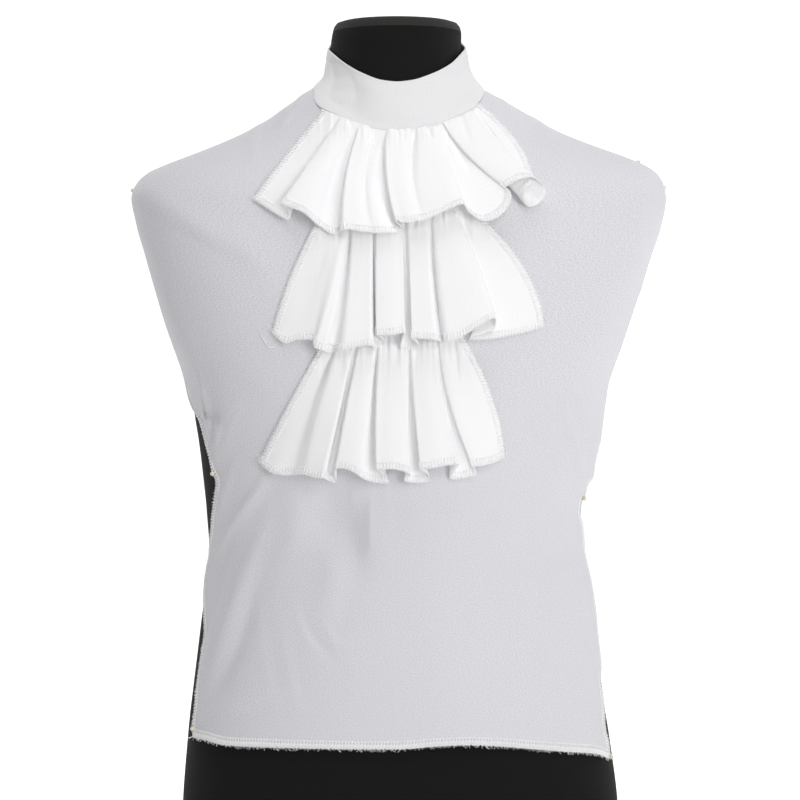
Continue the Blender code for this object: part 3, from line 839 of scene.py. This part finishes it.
# Ruffles
# Three strips of white cotton, overlocked round and gathered along the top. The first
# hangs from the collar's base seam, the other two are sewn down the panel below it.
white_cotton = cloth_material(
    "white_cotton",
    (0.89, 0.89, 0.898),
    roughness=0.8, threads=12000.0, slub=0.3, relief=0.00003, sheen=0.1,
)
RUFFLE_ROWS = 60
HEADER_ROWS = 3
SHORT_HEADER = 3
FOLD_STEPS = 9
RUFFLE_STITCH = 5.0
SIDE_LOOP = 0.9
GATHER_DEPTH = 1.0
GATHER_FADE = 0.10
SEWN_SHARE = 0.04
HEADER_FALL = 0.7
TROUGH_LEAD = 1.5
TROUGH_END = 1.15
FRONT_SHARE = 0.98
LYING_LIFT = 0.4

# pucker of the gathers: turn for each millimetre, start
PUCKER_WAVES = ((1.37, 0.0), (0.83, 1.3), (0.47, 4.0))

# gathering seams: x, height
SEAM_TOP = (
    (-69.5, 652.8), (-65.5, 649.3), (-49.9, 641.9), (-38.9, 637.6), (-24.5, 633.2),
    (-9.3, 631.9), (8.5, 633.2), (21.1, 635.0), (33.8, 638.0), (46.5, 643.7),
    (55.9, 648.0), (67.8, 655.4),
)
SEAM_MIDDLE = (
    (-68.3, 558.7), (-50.0, 562.1), (0.0, 563.8), (50.9, 564.7), (61.7, 562.9),
)
SEAM_BOTTOM = (
    (-68.1, 450.3), (-49.8, 454.4), (0.0, 456.1), (41.5, 456.9), (59.8, 456.1),
)

# fold lines along the cloth: x and lift at the seam, x and lift half-way down,
# x, height and lift at the hem
FOLDS_TOP = (
    (-66.1, 0.1, -95.9, 0.3, -123.1, 573.2, 1.0),
    (-63.5, 0.3, -90.7, 0.8, -115.9, 568.8, 2.2),
    (-60.1, 0.4, -84.8, 1.4, -106.5, 562.7, 3.2),
    (-55.9, 0.5, -78.9, 1.8, -96.5, 556.8, 3.8),
    (-53.3, 0.6, -76.3, 2.6, -91.5, 557.6, 4.6),
    (-51.6, 1.0, -74.7, 4.6, -96.5, 566.8, 8.0),
    (-50.8, 2.2, -74.2, 6.4, -98.5, 568.7, 11.0),
    (-47.8, 2.6, -68.7, 7.4, -90.5, 565.2, 12.0),
    (-43.1, 2.4, -62.8, 6.8, -79.6, 560.6, 12.0),
    (-38.9, 1.8, -59.5, 4.6, -72.2, 554.0, 9.6),
    (-37.0, 0.5, -55.3, 1.4, -64.0, 548.0, 4.4),
    (-35.5, 0.3, -49.9, 1.1, -55.7, 543.4, 4.2),
    (-34.5, 0.5, -46.3, 1.7, -50.7, 545.1, 4.8),
    (-33.8, 2.4, -45.2, 8.8, -48.1, 546.7, 12.6),
    (-30.4, 2.8, -41.4, 9.4, -40.6, 546.7, 13.2),
    (-23.7, 2.4, -34.3, 8.6, -31.5, 545.1, 12.8),
    (-20.6, 1.0, -30.1, 6.0, -23.2, 544.3, 11.8),
    (-18.3, 1.9, -25.9, 7.4, -18.2, 544.2, 11.8),
    (-15.6, 1.6, -20.9, 5.8, -11.6, 544.1, 10.8),
    (-13.0, 0.5, -16.4, 1.8, -0.8, 544.2, 5.4),
    (-11.5, 0.4, -12.7, 1.8, 1.7, 548.4, 5.5),
    (-10.5, 2.5, -11.3, 9.2, -3.7, 554.2, 13.0),
    (-7.6, 2.8, -7.5, 9.8, 1.7, 552.9, 13.8),
    (-0.8, 2.6, -0.8, 9.8, 7.5, 552.9, 14.2),
    (6.4, 2.2, 5.0, 8.8, 14.1, 554.2, 13.8),
    (9.3, 0.8, 9.2, 6.6, 19.1, 555.1, 13.0),
    (12.3, 1.9, 14.2, 8.2, 23.2, 555.9, 13.2),
    (17.8, 2.4, 22.6, 8.8, 31.5, 559.6, 13.6),
    (24.5, 2.0, 33.5, 8.8, 43.1, 565.1, 13.6),
    (27.9, 1.4, 39.0, 8.2, 51.5, 568.2, 13.2),
    (29.6, 0.8, 41.9, 6.6, 54.0, 566.2, 10.6),
    (31.3, 0.7, 44.4, 5.8, 56.5, 562.4, 9.8),
    (32.6, 0.7, 47.8, 5.4, 64.8, 555.7, 9.2),
    (33.4, 0.6, 51.5, 5.0, 73.1, 554.5, 8.8),
    (34.1, 0.5, 54.5, 4.6, 81.0, 557.4, 8.6),
    (34.7, 0.4, 56.6, 4.4, 88.1, 563.7, 8.6),
    (35.2, 0.4, 57.9, 4.4, 91.9, 571.0, 8.6),
    (35.7, 0.4, 58.3, 4.6, 92.0, 577.5, 8.8),
    (36.2, 0.7, 57.5, 5.4, 89.9, 581.3, 9.4),
    (36.8, 2.2, 56.5, 7.0, 87.5, 582.6, 10.0),
    (38.9, 2.5, 59.6, 8.4, 90.8, 584.7, 12.2),
    (46.5, 2.6, 67.2, 9.6, 99.2, 589.1, 14.0),
    (53.3, 1.9, 75.6, 9.6, 105.9, 590.9, 13.8),
    (57.6, 1.4, 81.1, 8.6, 110.9, 590.6, 13.0),
    (59.7, 1.0, 84.9, 7.4, 114.2, 588.4, 13.0),
    (60.3, 0.5, 84.0, 4.8, 117.5, 585.8, 12.4),
    (60.8, 0.4, 81.5, 3.6, 120.8, 582.2, 11.0),
    (61.2, 0.4, 78.1, 2.8, 121.0, 577.0, 8.6),
    (61.8, 0.4, 74.8, 1.2, 117.5, 571.3, 3.6),
    (62.3, 0.4, 72.3, 1.1, 112.5, 568.1, 2.9),
    (62.9, 0.5, 73.1, 3.0, 107.2, 567.5, 5.6),
    (63.5, 0.5, 77.3, 4.2, 103.7, 571.0, 8.0),
    (64.4, 0.6, 83.1, 4.6, 102.9, 576.1, 10.2),
    (65.7, 0.9, 89.9, 5.0, 104.4, 580.7, 11.6),
    (66.9, 1.1, 95.4, 4.8, 107.1, 584.1, 12.0),
    (68.3, 0.5, 99.6, 3.4, 110.9, 586.5, 11.6),
)
FOLDS_MIDDLE = (
    (-66.7, 0.1, -90.6, 0.4, -106.3, 460.6, 1.0),
    (-62.5, 0.3, -84.0, 1.3, -100.4, 455.6, 2.4),
    (-57.5, 0.5, -76.5, 1.9, -94.6, 452.7, 3.0),
    (-51.7, 0.7, -69.0, 2.6, -86.2, 455.0, 3.8),
    (-49.2, 0.8, -64.0, 3.8, -78.7, 455.5, 4.8),
    (-47.5, 0.9, -59.8, 5.0, -72.1, 454.7, 6.4),
    (-45.8, 1.5, -55.6, 6.8, -70.8, 449.7, 9.5),
    (-43.7, 1.8, -52.7, 6.2, -67.0, 447.4, 9.8),
    (-41.8, 1.4, -50.0, 4.8, -62.9, 446.0, 9.2),
    (-40.7, 0.5, -46.9, 1.4, -59.3, 445.2, 4.4),
    (-39.8, 0.5, -44.1, 1.6, -53.9, 445.4, 4.5),
    (-39.0, 1.8, -42.7, 7.4, -49.2, 445.9, 11.5),
    (-34.2, 2.0, -36.5, 8.4, -38.8, 448.4, 12.5),
    (-28.3, 2.0, -29.0, 8.4, -29.8, 450.1, 12.6),
    (-24.2, 1.8, -23.7, 7.8, -23.3, 449.7, 12.0),
    (-22.7, 0.8, -22.4, 1.9, -19.9, 448.1, 4.5),
    (-21.0, 0.7, -20.9, 1.8, -13.3, 453.5, 3.8),
    (-20.0, 0.9, -20.4, 5.2, -16.6, 457.6, 8.5),
    (-19.0, 1.9, -19.9, 8.2, -19.4, 459.6, 13.0),
    (-16.7, 2.1, -17.4, 9.0, -16.5, 459.1, 14.0),
    (-8.3, 2.2, -8.3, 9.4, -7.4, 459.1, 14.6),
    (0.0, 2.1, 0.8, 9.0, 0.0, 460.4, 14.0),
    (1.3, 1.8, 2.5, 8.2, 3.6, 460.4, 13.2),
    (2.2, 0.6, 3.2, 3.6, 0.8, 453.4, 9.0),
    (3.0, 0.5, 4.3, 1.5, 1.7, 446.9, 3.5),
    (4.2, 0.5, 6.0, 1.5, 11.6, 447.2, 3.3),
    (5.3, 0.7, 7.3, 3.6, 15.7, 451.0, 7.6),
    (6.2, 1.8, 8.1, 7.8, 9.9, 456.3, 12.0),
    (9.2, 2.0, 11.2, 8.6, 14.0, 456.0, 13.0),
    (16.7, 2.1, 18.3, 9.0, 22.3, 455.6, 13.4),
    (22.2, 1.9, 25.4, 8.6, 30.6, 454.6, 12.8),
    (23.8, 0.5, 27.4, 2.1, 33.6, 454.3, 5.9),
    (26.3, 0.4, 29.6, 1.9, 35.6, 454.3, 5.8),
    (27.8, 1.8, 31.5, 7.4, 38.9, 454.6, 12.2),
    (33.3, 2.1, 40.7, 9.0, 47.1, 456.2, 13.2),
    (38.3, 2.1, 49.8, 9.4, 58.6, 462.0, 14.5),
    (41.7, 1.9, 58.9, 9.2, 70.2, 469.4, 15.4),
    (43.5, 1.5, 63.1, 8.4, 77.2, 473.1, 14.8),
    (44.3, 0.6, 64.7, 4.6, 78.8, 469.9, 12.4),
    (45.5, 0.4, 65.3, 3.0, 74.5, 462.1, 8.6),
    (47.2, 0.5, 66.0, 2.4, 58.0, 456.4, 4.0),
    (49.6, 1.2, 70.7, 2.6, 67.2, 455.2, 3.2),
    (52.5, 1.1, 78.2, 2.4, 79.6, 456.4, 3.0),
    (55.8, 1.0, 85.6, 2.2, 91.2, 458.7, 2.8),
    (58.3, 0.7, 93.1, 1.8, 105.4, 461.8, 2.2),
    (60.0, 0.5, 99.0, 1.3, 113.7, 464.4, 1.6),
    (60.8, 0.3, 103.1, 0.8, 119.9, 466.7, 1.0),
)
FOLDS_BOTTOM = (
    (-64.8, 0.1, -92.2, 0.8, -117.6, 353.1, 1.8),
    (-61.5, 0.3, -86.4, 1.5, -110.5, 346.0, 3.0),
    (-58.1, 0.5, -81.4, 1.8, -99.7, 342.7, 3.2),
    (-55.2, 0.5, -76.4, 2.0, -91.4, 342.7, 3.2),
    (-53.6, 0.6, -72.7, 3.0, -87.2, 343.1, 4.4),
    (-51.5, 1.6, -68.9, 5.8, -83.0, 343.6, 7.0),
    (-48.2, 2.0, -64.7, 7.8, -78.8, 343.3, 9.2),
    (-42.4, 2.0, -55.6, 8.8, -70.4, 340.8, 10.8),
    (-37.7, 1.8, -50.3, 8.2, -63.4, 340.4, 11.4),
    (-36.4, 0.6, -49.3, 1.6, -61.5, 339.4, 4.3),
    (-35.0, 0.4, -47.4, 1.2, -57.3, 337.3, 2.8),
    (-33.7, 0.5, -45.2, 1.4, -52.8, 338.1, 3.2),
    (-32.9, 1.8, -44.0, 7.6, -53.9, 346.6, 10.5),
    (-29.9, 2.0, -39.4, 8.6, -47.2, 348.7, 12.0),
    (-24.9, 2.0, -31.5, 8.4, -38.9, 345.8, 12.4),
    (-20.8, 1.7, -26.1, 6.8, -31.5, 340.8, 11.0),
    (-18.9, 0.6, -22.9, 1.8, -23.7, 337.3, 4.8),
    (-17.8, 0.5, -21.3, 1.6, -10.8, 336.5, 3.5),
    (-17.1, 0.6, -20.6, 1.8, -13.3, 342.3, 4.2),
    (-16.4, 1.7, -19.9, 8.2, -19.6, 348.3, 12.0),
    (-13.3, 2.0, -15.8, 9.0, -14.9, 347.9, 13.5),
    (-6.6, 2.1, -7.5, 9.4, -6.6, 348.3, 14.0),
    (0.0, 2.0, 1.7, 9.0, 1.7, 346.7, 13.4),
    (4.5, 1.7, 6.1, 7.8, 7.8, 343.3, 11.8),
    (5.5, 0.5, 7.1, 3.3, 3.3, 339.1, 8.0),
    (6.3, 0.4, 8.3, 1.4, 10.0, 336.6, 2.7),
    (7.3, 0.5, 9.8, 1.4, 22.4, 337.3, 2.5),
    (8.3, 0.6, 11.0, 3.4, 24.1, 342.8, 6.6),
    (9.1, 1.7, 11.8, 7.6, 17.0, 348.0, 11.0),
    (12.5, 2.0, 15.8, 8.4, 23.2, 348.3, 12.5),
    (18.3, 2.1, 23.2, 9.0, 33.9, 350.4, 13.0),
    (24.1, 1.9, 31.8, 8.6, 43.0, 351.8, 12.6),
    (26.9, 1.7, 35.7, 7.8, 47.7, 352.0, 12.0),
    (28.2, 0.5, 36.5, 3.4, 44.0, 346.5, 7.5),
    (29.7, 0.4, 38.0, 1.4, 41.6, 340.2, 2.5),
    (31.1, 0.5, 39.7, 1.4, 52.4, 339.9, 2.4),
    (32.2, 0.7, 41.2, 4.4, 63.1, 344.0, 6.0),
    (33.5, 1.6, 42.6, 6.6, 60.9, 349.5, 8.4),
    (38.2, 1.8, 49.8, 6.8, 66.3, 350.7, 8.4),
    (43.2, 1.0, 57.3, 5.6, 71.3, 351.7, 7.0),
    (46.5, 1.4, 63.9, 5.0, 77.2, 353.1, 5.4),
    (49.8, 1.0, 72.3, 3.0, 83.1, 355.3, 3.4),
    (52.3, 0.3, 76.4, 1.2, 86.8, 357.9, 1.6),
)

# soft troughs between the gathers: start x, start z, end x, end z, half width on the
# left, half width on the right, depth
TROUGHS_TOP = (
    (-42.2, 637.7, -41.2, 624.2, 1.6, 2.2, 4.4),
    (-24.9, 633.3, -26.9, 621.6, 1.0, 1.8, 4.0),
    (-22.1, 633.3, -22.3, 625.1, 0.9, 1.4, 3.4),
    (-19.8, 632.5, -30.9, 584.8, 1.0, 5.0, 5.0),
    (9.6, 633.3, 9.2, 590.0, 0.9, 4.4, 5.0),
    (23.6, 633.3, 26.9, 624.2, 1.2, 1.8, 4.0),
    (-1.7, 631.6, -0.8, 624.2, 1.2, 1.2, 1.8),
    (-54.1, 641.2, -59.8, 628.6, 1.2, 2.0, 3.0),
    (52.4, 641.2, 58.9, 623.3, 2.4, 3.6, 3.0),
    (51.2, 609.5, 58.6, 597.0, 3.0, 3.4, 2.0),
    (59.1, 632.5, 64.7, 614.5, 3.0, 4.0, -1.0),
    (64.3, 647.2, 75.8, 632.1, 1.4, 2.6, 2.4),
    (78.4, 629.0, 89.8, 613.6, 1.2, 1.4, 3.0),
    (38.8, 623.6, 43.5, 597.0, 3.0, 3.0, 1.2),
)
TROUGHS_MIDDLE = (
    (-49.1, 561.0, -51.4, 532.4, 3.4, 3.0, 1.4),
    (14.1, 563.6, 8.3, 540.7, 1.2, 2.6, 1.8),
    (52.4, 562.7, 58.1, 529.0, 2.0, 4.0, 1.3),
    (-58.2, 559.3, -64.7, 535.7, 3.0, 3.0, 1.0),
    (34.1, 564.4, 36.5, 547.4, 1.4, 1.8, 1.2),
    (-10.0, 563.6, -10.0, 549.1, 1.2, 1.6, 0.9),
)
TROUGHS_BOTTOM = (
    (-55.6, 451.0, -64.6, 417.9, 4.5, 3.0, 2.8),
    (-2.5, 456.0, -2.9, 434.4, 2.2, 2.4, 1.8),
    (14.9, 456.0, 14.1, 436.1, 2.2, 2.6, 1.8),
    (-10.0, 456.0, -9.9, 446.0, 1.2, 1.4, 1.0),
    (3.3, 456.0, 3.3, 444.3, 1.2, 1.4, 0.8),
    (21.6, 456.0, 23.2, 442.7, 1.4, 1.6, 1.0),
    (45.6, 456.8, 48.0, 421.2, 2.4, 1.6, 2.8),
    (38.1, 456.8, 41.4, 436.1, 1.6, 2.2, 1.5),
    (-26.5, 456.0, -28.2, 437.7, 2.0, 2.6, 1.0),
    (-43.9, 456.0, -48.0, 432.8, 2.4, 2.4, 0.9),
)


def front_of_form(x, z):
    centre, half, front, _, square = sections(z)
    part = np.clip(np.abs(x - centre) / half, 0, FRONT_SHARE)
    return -front * (1 - part ** square) ** (1 / square)


def through(points, steps):
    """Rounded curve through points, with several samples to each."""
    count = len(points)
    weights = np.eye(count) * 0.75
    inner = np.arange(1, count - 1)
    weights[inner, inner - 1] = 0.125
    weights[inner, inner + 1] = 0.125
    weights[0, 0] = weights[-1, -1] = 1.0
    controls = np.linalg.solve(weights, points)
    samples = [controls[0]]
    for k in range(1, count - 1):
        first = controls[0] if k == 1 else (controls[k - 1] + controls[k]) / 2
        last = controls[-1] if k == count - 2 else (controls[k] + controls[k + 1]) / 2
        start = 0 if k == 1 else 1
        for i in range(start, steps + 1):
            t = i / steps
            samples.append(first * (1 - t) ** 2 + controls[k] * 2 * t * (1 - t) + last * t * t)
    return np.array(samples[1:])


def over_panel(x, z, lift):
    """Point in front of the panel, at a lift off it."""
    across = front_of_form(x + 1, z) - front_of_form(x - 1, z)
    down = front_of_form(x, z + 1) - front_of_form(x, z - 1)
    slant = np.sqrt(1 + (across ** 2 + down ** 2) / 4)
    outside = (panel_gap(x, z) + PANEL_WALL) * slant + SEAM_GAP
    y = front_of_form(x, z) - outside - np.maximum(lift, 0)
    return np.stack([x, y, z], axis=-1)


def trough_depth(x, z, troughs):
    """How far the troughs between the gathers sink the cloth."""
    total = np.zeros_like(x)
    for x0, z0, x1, z1, left, right, depth in troughs:
        run = np.array([x1 - x0, z1 - z0])
        length = np.hypot(*run)
        along = ((x - x0) * run[0] + (z - z0) * run[1]) / length ** 2
        aside = ((z - z0) * run[0] - (x - x0) * run[1]) / length
        width = np.where(aside < 0, left, right)
        fade = np.clip(TROUGH_END - along, 0, 1) * np.clip(along + TROUGH_LEAD, 0, 1)
        total += depth * fade * np.exp(-((aside / width) ** 2))
    return total


def ruffle_points(seam, folds, troughs, header, rows, steps):
    """Grid of a ruffle, from its hem up through its gathers to the header."""
    table = np.array(folds)
    seam_height = lookup(seam, table[:, 0])
    down = np.linspace(1, 0, rows + 1)
    grid = []
    for v in down:
        first, middle, last = (1 - v) * (1 - 2 * v), 4 * v * (1 - v), v * (2 * v - 1)
        x = first * table[:, 0] + middle * table[:, 2] + last * table[:, 4]
        lift = first * table[:, 1] + middle * table[:, 3] + last * table[:, 6]
        z = seam_height * (1 - v) + table[:, 5] * v
        grid.append(through(np.stack([x, lift, z], axis=-1), steps))
    grid = np.array(grid)
    x, lift, z = grid[..., 0], grid[..., 1], grid[..., 2]
    v = down[:, None]
    lift = lift - trough_depth(x, z, troughs)
    pucker = sum(np.sin(x * turn + start) for turn, start in PUCKER_WAVES)
    lift = lift + GATHER_DEPTH * pucker / 2 * np.exp(-v / GATHER_FADE)
    lift = lift * (0.5 + 0.5 * np.clip(v / SEWN_SHARE, 0, 1))
    above = np.arange(1, HEADER_ROWS + 1)[:, None] / HEADER_ROWS
    x = np.vstack([x, np.repeat(x[-1:], HEADER_ROWS, axis=0)])
    z = np.vstack([z, z[-1:] + header * above])
    lift = np.vstack([lift, lift[-1:] * (1 - HEADER_FALL * above)])
    return over_panel(x, z, lift)


def raised(points, lift):
    """The same grid, moved out along its own normals."""
    across = np.gradient(points, axis=1)
    up = np.gradient(points, axis=0)
    return points + unit(np.cross(across, up)) * lift


# pitch and reach of the frayed fibres at the hem, the ends, the corners and the header
RUFFLE_HEM_FRAY = (1.9, 2.6)
RUFFLE_END_FRAY = (2.6, 2.4)
CORNER_FRAY = (0.3, 7.0)
HEADER_FRAY = (0.7, 4.6)

# thread left lying beside the middle ruffle: x, height
LOOSE_THREAD = ((-103.9, 449.5), (-109.7, 448.4), (-113.6, 455.0), (-117.2, 460.3))

# tier, seam, fold lines, troughs, height of the strip above its seam
RUFFLES = (
    ("top", SEAM_TOP, FOLDS_TOP, TROUGHS_TOP, 2.5),
    ("middle", SEAM_MIDDLE, FOLDS_MIDDLE, TROUGHS_MIDDLE, 5.0),
    ("bottom", SEAM_BOTTOM, FOLDS_BOTTOM, TROUGHS_BOTTOM, 5.0),
)
for tier, seam, folds, troughs, header in RUFFLES:
    points = ruffle_points(seam, folds, troughs, header, RUFFLE_ROWS, FOLD_STEPS)
    ruffle = shaped_grid(f"{tier}_ruffle_cloth", points, white_cotton)
    add_wall(ruffle, CLOTH)
    outer = raised(points, CLOTH)
    outward = raised(points, CLOTH + 1) - outer
    k = RUFFLE_STITCH / spans(points[:RUFFLE_ROWS, ::FOLD_STEPS], 0).mean()
    hem_inner = outer[int(k)] * (1 - k % 1) + outer[int(k) + 1] * (k % 1)
    bars, chains = overlock(outer[0], hem_inner, outward[0], STITCH_PITCH, 1, SHORT_LOOP)
    fibres = frayed(outer[0], hem_inner, *RUFFLE_HEM_FRAY, dice)
    for end, inside in ((0, 4), (-1, -5)):
        edge = outer[:, end]
        inner = edge + unit(outer[:, inside] - edge) * RUFFLE_STITCH
        stitches = overlock(edge, inner, outward[:, end], STITCH_PITCH, 1, SIDE_LOOP)
        bars += stitches[0]
        chains += stitches[1]
        fibres += frayed(edge, inner, *RUFFLE_END_FRAY, dice)
        corner = np.repeat(outer[:3, end], 4, axis=0) + 0.01
        fibres += frayed(corner, np.repeat(inner[:3], 4, axis=0), *CORNER_FRAY, dice)
    if header > SHORT_HEADER:
        fibres += frayed(outer[-1], outer[-3], *HEADER_FRAY, dice)
    if tier == "middle":
        lying = through(np.array(LOOSE_THREAD), 4)
        chains.append(over_panel(lying[:, 0], lying[:, 1], LYING_LIFT))
    thread_piece(f"{tier}_ruffle_overlock_bars", bars, BAR_RADIUS, 6)
    thread_piece(f"{tier}_ruffle_overlock_chains", chains, CHAIN_RADIUS, 6)
    thread_piece(f"{tier}_ruffle_fibres", fibres, FIBRE_RADIUS, 4)
    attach(ruffle, "root")
    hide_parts(f"ruffle_{tier}")

# Studio
# A plain pale floor that sweeps up behind the form, soft light from the right and from
# above, and the camera square to the chest.
CAMERA_DISTANCE = 2.8
CAMERA_HEIGHT = 0.4046
FRAME_WIDTH = 0.696
SENSOR = 36.0
STAGE_WHITE = (0.65, 0.65, 0.65, 1.0)
STAGE_GLOW = 0.8
GLOW_RUN = 0.6
GLOW_NEAR = 0.3
SKY_LIGHT = 0.03
SKY_SEEN = 0.9
SWEEP_WIDTH = 22.0

# depth, height
SWEEP = ((-9.0, 0.0), (2.4, 0.0), (3.4, 0.2), (4.0, 0.8), (4.2, 2.0), (4.2, 7.0))

# name, place, aim, size, power
LIGHTS = (
    ("key", (1.8, -2.6, 0.6), (0, 0, 0.3), 1.3, 28.0),
    ("high_key", (0.9, -2.4, 2.3), (0, 0, 0.2), 1.2, 21.0),
    ("front", (0.0, -2.9, 0.3), (0, 0, 0.2), 0.9, 12.0),
    ("overhead_left", (-0.6, -0.8, 4.0), (0, 0, 0.5), 2.0, 48.0),
    ("top", (-0.3, 0.3, 4.4), (0, 0, 0.5), 1.6, 34.0),
    ("side", (2.6, -1.2, 0.5), (0, 0, 0.4), 1.2, 3.0),
    ("left_rim", (-1.6, 0.8, 0.6), (0, 0, 0.4), 0.9, 3.5),
    ("right_rim", (1.6, 0.8, 0.6), (0, 0, 0.4), 0.9, 5.5),
)

stage_white, tree, shader = new_material("stage_white", 1.0)
shader.inputs["Base Color"].default_value = STAGE_WHITE
shader.inputs["Emission Strength"].default_value = STAGE_GLOW
# the ground glows as painted light, dimmer near the form and brighter further out: all round
# where the camera sees it, and behind the form where it only lights the cloth
place = tree.nodes.new("ShaderNodeTexCoord").outputs["Object"]
split = tree.nodes.new("ShaderNodeSeparateXYZ")
tree.links.new(place, split.inputs[0])
far = tree.nodes.new("ShaderNodeVectorMath")
far.operation = "LENGTH"
tree.links.new(place, far.inputs[0])
seen = tree.nodes.new("ShaderNodeLightPath").outputs["Is Camera Ray"]
ring = maths(tree, "MULTIPLY", far.outputs["Value"], seen)
glow = new_node(tree, "ShaderNodeMapRange", From_Max=GLOW_RUN, To_Min=GLOW_NEAR)
tree.links.new(maths(tree, "MAXIMUM", ring, split.outputs["Y"]), glow.inputs["Value"])
tree.links.new(glow.outputs["Result"], shader.inputs["Emission Color"])
bm = bmesh.new()
bmesh.ops.create_grid(bm, x_segments=2, y_segments=len(SWEEP) - 1, size=0.5)
for vert in bm.verts:
    depth, height = SWEEP[round((vert.co.y + 0.5) * (len(SWEEP) - 1))]
    vert.co = (vert.co.x * SWEEP_WIDTH, depth, height)
for face in bm.faces:
    face.smooth = True
backdrop = finished("studio_sweep", bm, stage_white)

for name, place, aim, size, power in LIGHTS:
    light = bpy.data.lights.new(name, "AREA")
    light.shape = "DISK"
    light.size = size
    light.energy = power
    lamp = bpy.data.objects.new(name, light)
    lamp.location = place
    lamp.rotation_euler = (Vector(aim) - Vector(place)).to_track_quat("-Z", "Y").to_euler()
    bpy.context.scene.collection.objects.link(lamp)
bpy.context.scene.view_settings.view_transform = "Standard"

world = bpy.data.worlds.new("studio")
world.use_nodes = True
tree = world.node_tree
sky = tree.nodes["Background"]
sky.inputs["Color"].default_value = (1.0, 1.0, 1.0, 1.0)
seen = tree.nodes.new("ShaderNodeLightPath")
strength = new_node(tree, "ShaderNodeMapRange", To_Min=SKY_LIGHT, To_Max=SKY_SEEN)
tree.links.new(seen.outputs["Is Camera Ray"], strength.inputs["Value"])
tree.links.new(strength.outputs["Result"], sky.inputs["Strength"])
bpy.context.scene.world = world

camera = bpy.data.cameras.new("camera")
camera.sensor_width = SENSOR
camera.lens = SENSOR * CAMERA_DISTANCE / FRAME_WIDTH
camera.clip_end = 30.0
eye = bpy.data.objects.new("camera", camera)
eye.location = (0.0, -CAMERA_DISTANCE + AXIS[1] * MM, CAMERA_HEIGHT)
eye.rotation_euler = (math.pi / 2, 0.0, 0.0)
bpy.context.scene.collection.objects.link(eye)
bpy.context.scene.camera = eye
